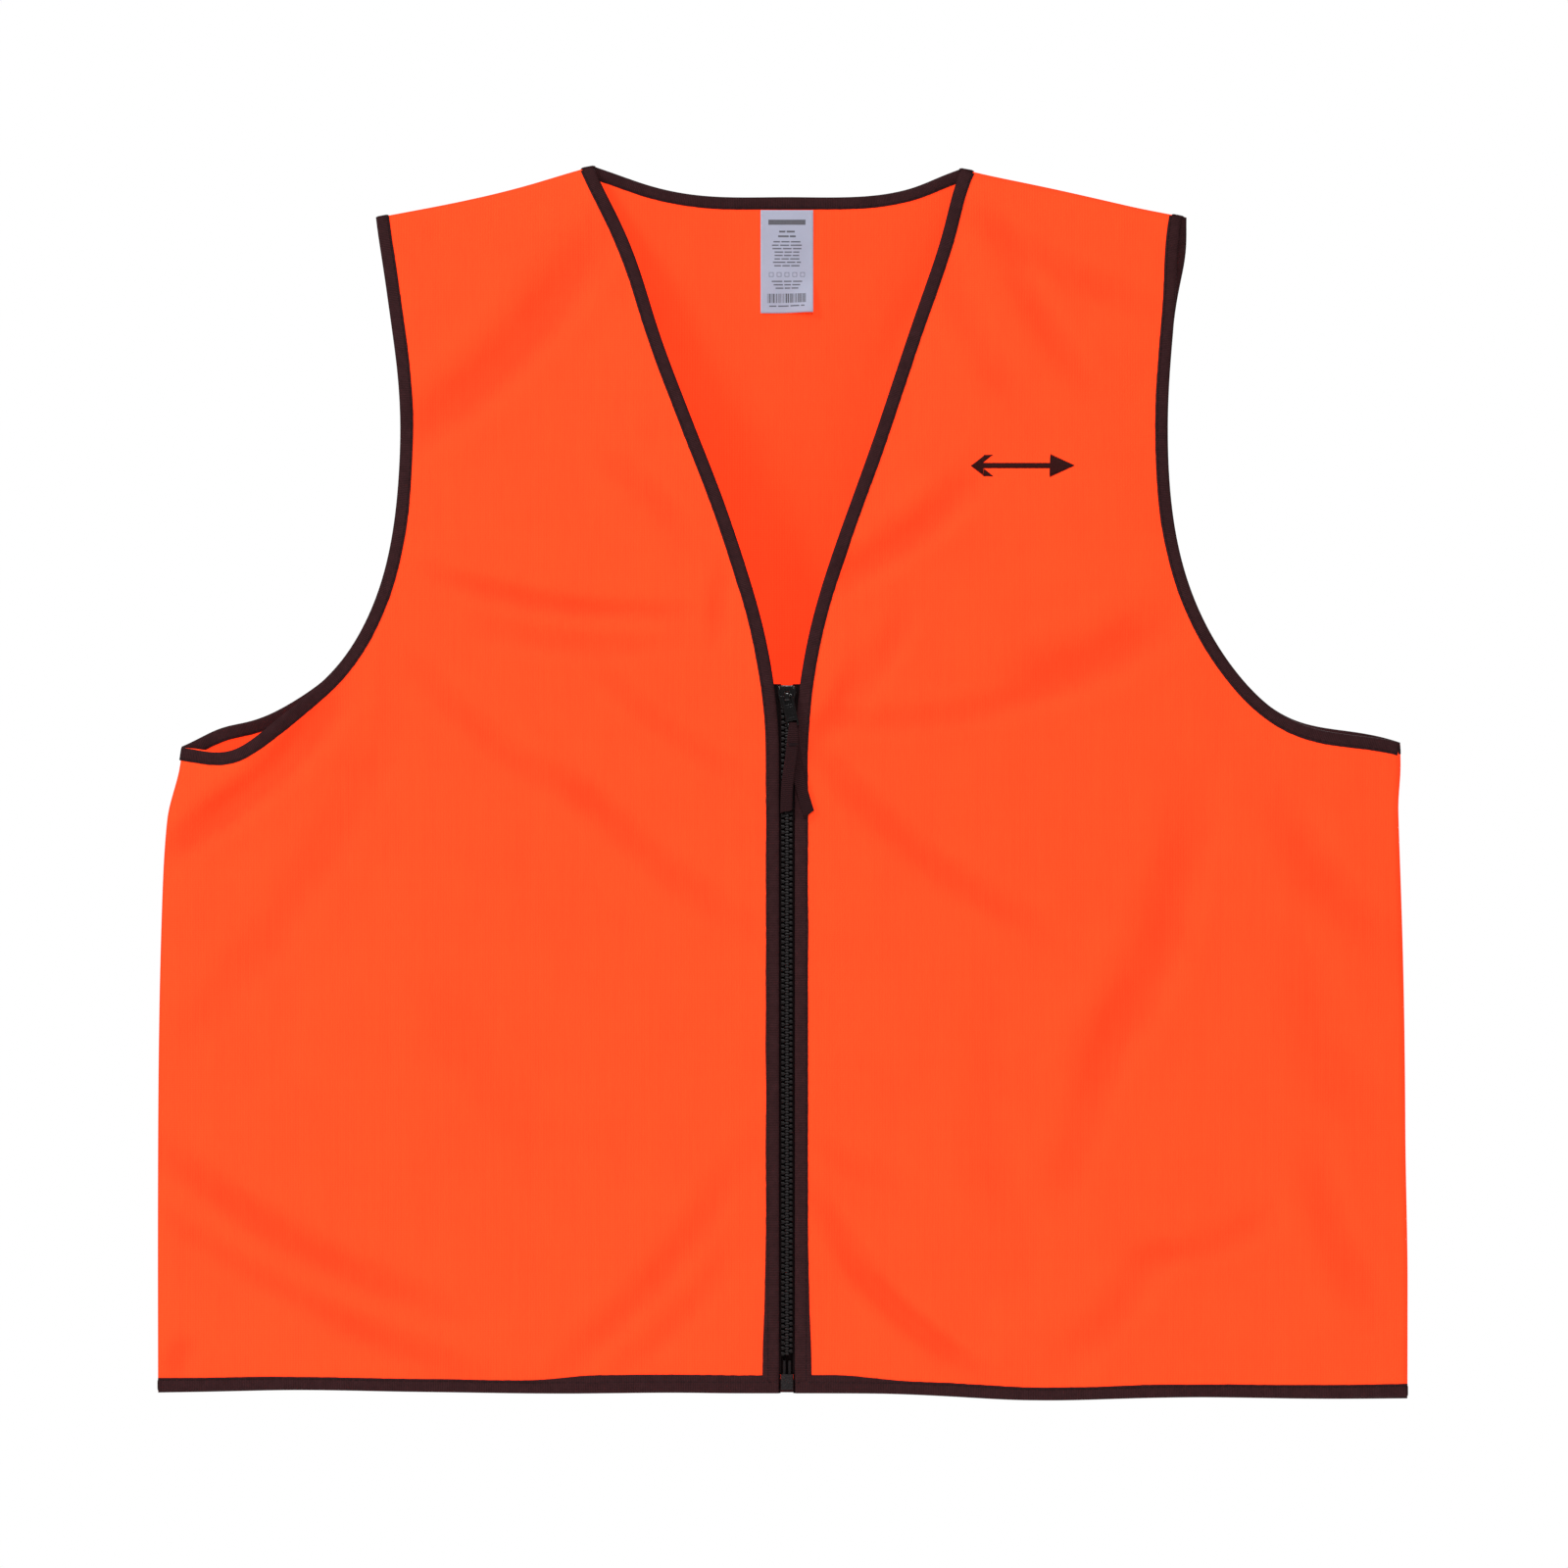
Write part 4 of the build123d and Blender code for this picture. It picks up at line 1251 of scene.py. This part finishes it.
def make_ribbon_piece():
    stations = ribbon_line()
    half_thick = 0.19
    across = 9
    total = len(stations)
    points = []
    along = []
    run = 0.0
    for i, (spot, face) in enumerate(stations):
        ahead = (stations[min(i + 1, total - 1)][0] - stations[max(i - 1, 0)][0]).normalized()
        side_way = ahead.cross(face).normalized()
        if i:
            run += (spot - stations[i - 1][0]).length
        squeeze = 1 - 0.34 * math.exp(-(((spot.z - RIBBON_TOP_Z) / 4.5) ** 2))
        half = 3.05 * squeeze
        slant = 0.0
        if i == 0:
            slant = 0.25
        if i == total - 1:
            slant = -0.42
        for level in (half_thick, -half_thick):
            for k in range(across):
                share = 2 * k / (across - 1) - 1
                if level < 0:
                    share = -share
                cup = 0.28 * share * share * (1 - squeeze + 0.15)
                point = spot + side_way * half * share + face * (level - cup)
                point += ahead * slant * half * share
                points.append(point)
                along.append((run + slant * half * share, half * share, level))
    piece = mesh_piece("ribbon", points, tube_faces(total, 2 * across), RIBBON)
    store_cloth(piece, along)
    recalculate(piece)
    return piece


ribbon = make_ribbon_piece()
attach(ribbon, "ribbon")
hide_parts("pull_ribbon")
tack_threads = []
for k in range(13):
    x = RIBBON_X + 0.2 + 4.6 * (k / 12 - 0.5)
    y = TAB_AXIS_Y - 1.3 - 0.3
    for face_y in (y, TAB_AXIS_Y + 1.65):
        tack_threads.append((Vector((x - 0.1, face_y, -294.7)), Vector((x + 0.1, face_y, -296.2))))
for k in range(5):
    x = RIBBON_X + 0.2 + 4.2 * (k / 4 - 0.5)
    tack_threads.append((Vector((x, TAB_AXIS_Y - 1.6, -295.5)), Vector((x, TAB_AXIS_Y + 1.6, -295.5))))
bartack = thread_piece("bartack", tack_threads, DARK_THREAD, 0.22)
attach(bartack, "ribbon")
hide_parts("ribbon_bartack")


# --- care label ---------------------------------------------------------------------------------------
LABEL_HALF = 13.5
LABEL_LENGTH = 52.9
LABEL_TOP = Vector((0, 2.4, -21.9))
LABEL_DOWN = Vector((0, 5.3, -52.6)).normalized()


def label_point(x, down, lift=0.0):
    """Point on the label: x across, down from its top edge, lifted towards the front."""
    curl = 2.6 * ease(down, 34, LABEL_LENGTH) * ease(x, -4, LABEL_HALF)
    ripple = 0.18 * math.sin(x / 4.2 + down / 14) * ease(down, 2, 20)
    front = Vector((0, -LABEL_DOWN.z, LABEL_DOWN.y)) * -1
    spot = LABEL_TOP + Vector((x, 0, 0)) + LABEL_DOWN * (down - 0.35 * curl)
    return spot + front * (curl + ripple + lift)


def make_label():
    rows = 60
    columns = 32
    points = []
    for r in range(rows + 1):
        down = LABEL_LENGTH * r / rows
        for c in range(columns + 1):
            points.append(label_point(LABEL_HALF * (2 * c / columns - 1), down))
    label = mesh_piece("label", points, grid_faces(rows, columns, False), LABEL)
    thick = label.modifiers.new("thickness", "SOLIDIFY")
    thick.thickness = 0.22 * MM
    thick.offset = 0
    apply_modifiers(label)
    label.data.shade_smooth()
    return label


def printed(rectangles):
    """Thin ink marks on the label: each (low x, high x, top, bottom) in label millimetres."""
    points = []
    faces = []
    for low, high, top, bottom in rectangles:
        across = max(1, int((high - low) / 1.2))
        down = max(1, int((bottom - top) / 1.2))
        start = len(points)
        for r in range(down + 1):
            for c in range(across + 1):
                x = low + (high - low) * c / across
                z = top + (bottom - top) * r / down
                points.append(label_point(x, z, 0.14))
        faces += grid_faces(down, across, False, start)
    return points, faces


def text_line(centre_down, half_length, height, words):
    """A line of generic marks as wide as printed words, with no lettering."""
    marks = []
    x = -half_length
    for word, gap in words:
        width = 2 * half_length * word
        marks.append((x, x + width, centre_down - height / 2, centre_down + height / 2))
        x += width + 2 * half_length * gap
    return marks


def outline_box(x, down, half, bar=0.22):
    return [
        (x - half, x + half, down - half, down - half + bar),
        (x - half, x + half, down + half - bar, down + half),
        (x - half, x - half + bar, down - half, down + half),
        (x + half - bar, x + half, down - half, down + half),
    ]


label = make_label()
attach(label, "label")
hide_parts("care_label")
marks = text_line(6.2, 9.5, 2.6, [(1.0, 0)])
marks += text_line(11.0, 4.0, 0.9, [(0.4, 0.08), (0.52, 0)])
marks += text_line(13.4, 4.5, 0.9, [(0.6, 0.06), (0.34, 0)])
for k in range(8):
    half = 6.2 + 2.2 * random.random()
    first = 0.2 + 0.3 * random.random()
    marks += text_line(16.2 + 1.75 * k, half, 0.62, [(first, 0.05), (0.3, 0.05), (0.6 - first, 0)])
for k in range(5):
    marks += outline_box(-8.0 + 4.0 * k, 33.0, 1.15)
for k in range(3):
    marks += text_line(36.5 + 1.75 * k, 7.8 - k, 0.62, [(0.35, 0.05), (0.25, 0.05), (0.3, 0)])
x = -10.0
while x < 9.8:
    bar = random.choice((0.25, 0.25, 0.45, 0.7))
    marks.append((x, x + bar, 42.8, 47.6))
    x += bar + random.choice((0.3, 0.3, 0.5))
marks += text_line(49.2, 9.0, 0.62, [(0.2, 0.05), (0.3, 0.05), (0.25, 0.05), (0.1, 0)])
ink_points, ink_faces = printed(marks)
ink = mesh_piece("label_print", ink_points, ink_faces, INK)
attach(ink, "label")


# --- chest embroidery -----------------------------------------------------------------------------------
MOTIF_X = 122.0
MOTIF_Z = -153.0


def arrow_span(x):
    """Lowest and highest height of the arrow's upper half at x."""
    if x < -20.5:
        top = 5.5 * min(1.0, (x + 27) / 7)
        return 0.0, top
    if x < -15.5:
        return 0.0, 5.5
    if x < 14:
        return 0.0, 1.4
    return 0.0, 6.0 * (27 - x) / 13


motif = []
for k in range(150):
    x = -26.6 + 53.2 * k / 149
    low, high = arrow_span(x)
    if high < 0.25:
        continue
    if -20.5 < x < -15.5:
        low = 1.4 + (x + 20.5) * 4.1 / 5 if x > -20.5 else 0.0
        pieces = [(-1.4, 1.4), (low, high), (-high, -low)]
    else:
        pieces = [(-high, high)]
    for bottom, top in pieces:
        if top - bottom < 0.3:
            continue
        wobble = 0.12 * (random.random() - 0.5)
        lean = 0.22
        start = cloth_point(-1, MOTIF_X + x - lean, MOTIF_Z + bottom + wobble, 0.42)
        end = cloth_point(-1, MOTIF_X + x + lean, MOTIF_Z + top + wobble, 0.42)
        motif.append((start, end))
motif_piece = thread_piece("chest_motif", motif, MOTIF_THREAD, 0.24)
blend_front(motif_piece)
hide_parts("chest_embroidery")

# The stabiliser lies against the inside of the knit.
columns = 32
rows = 11
backing_points = []
for r in range(rows + 1):
    for c in range(columns + 1):
        x = MOTIF_X + 32.0 * (2 * c / columns - 1)
        z = MOTIF_Z + 11.0 * (2 * r / rows - 1)
        backing_points.append(cloth_point(-1, x, z, -0.55))
backing = mesh_piece("backing", backing_points, grid_faces(rows, columns, True), STABILISER)
blend_front(backing)
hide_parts("embroidery_backing")

# --- CAD nodes that stay, with their finishes -------------------------------------------------------------
FINISHES = {
    ZIP_TAPE: ("zip_tape_left", "zip_tape_right"),
    TEETH: ("top_stop_left", "top_stop_right", "retainer_pin", "insertion_pin"),
    FILM: ("tape_film_left", "tape_film_right", "retainer_box"),
}
for material, names in FINISHES.items():
    for node in names:
        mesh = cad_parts[node].data
        mesh.materials.clear()
        mesh.materials.append(material)
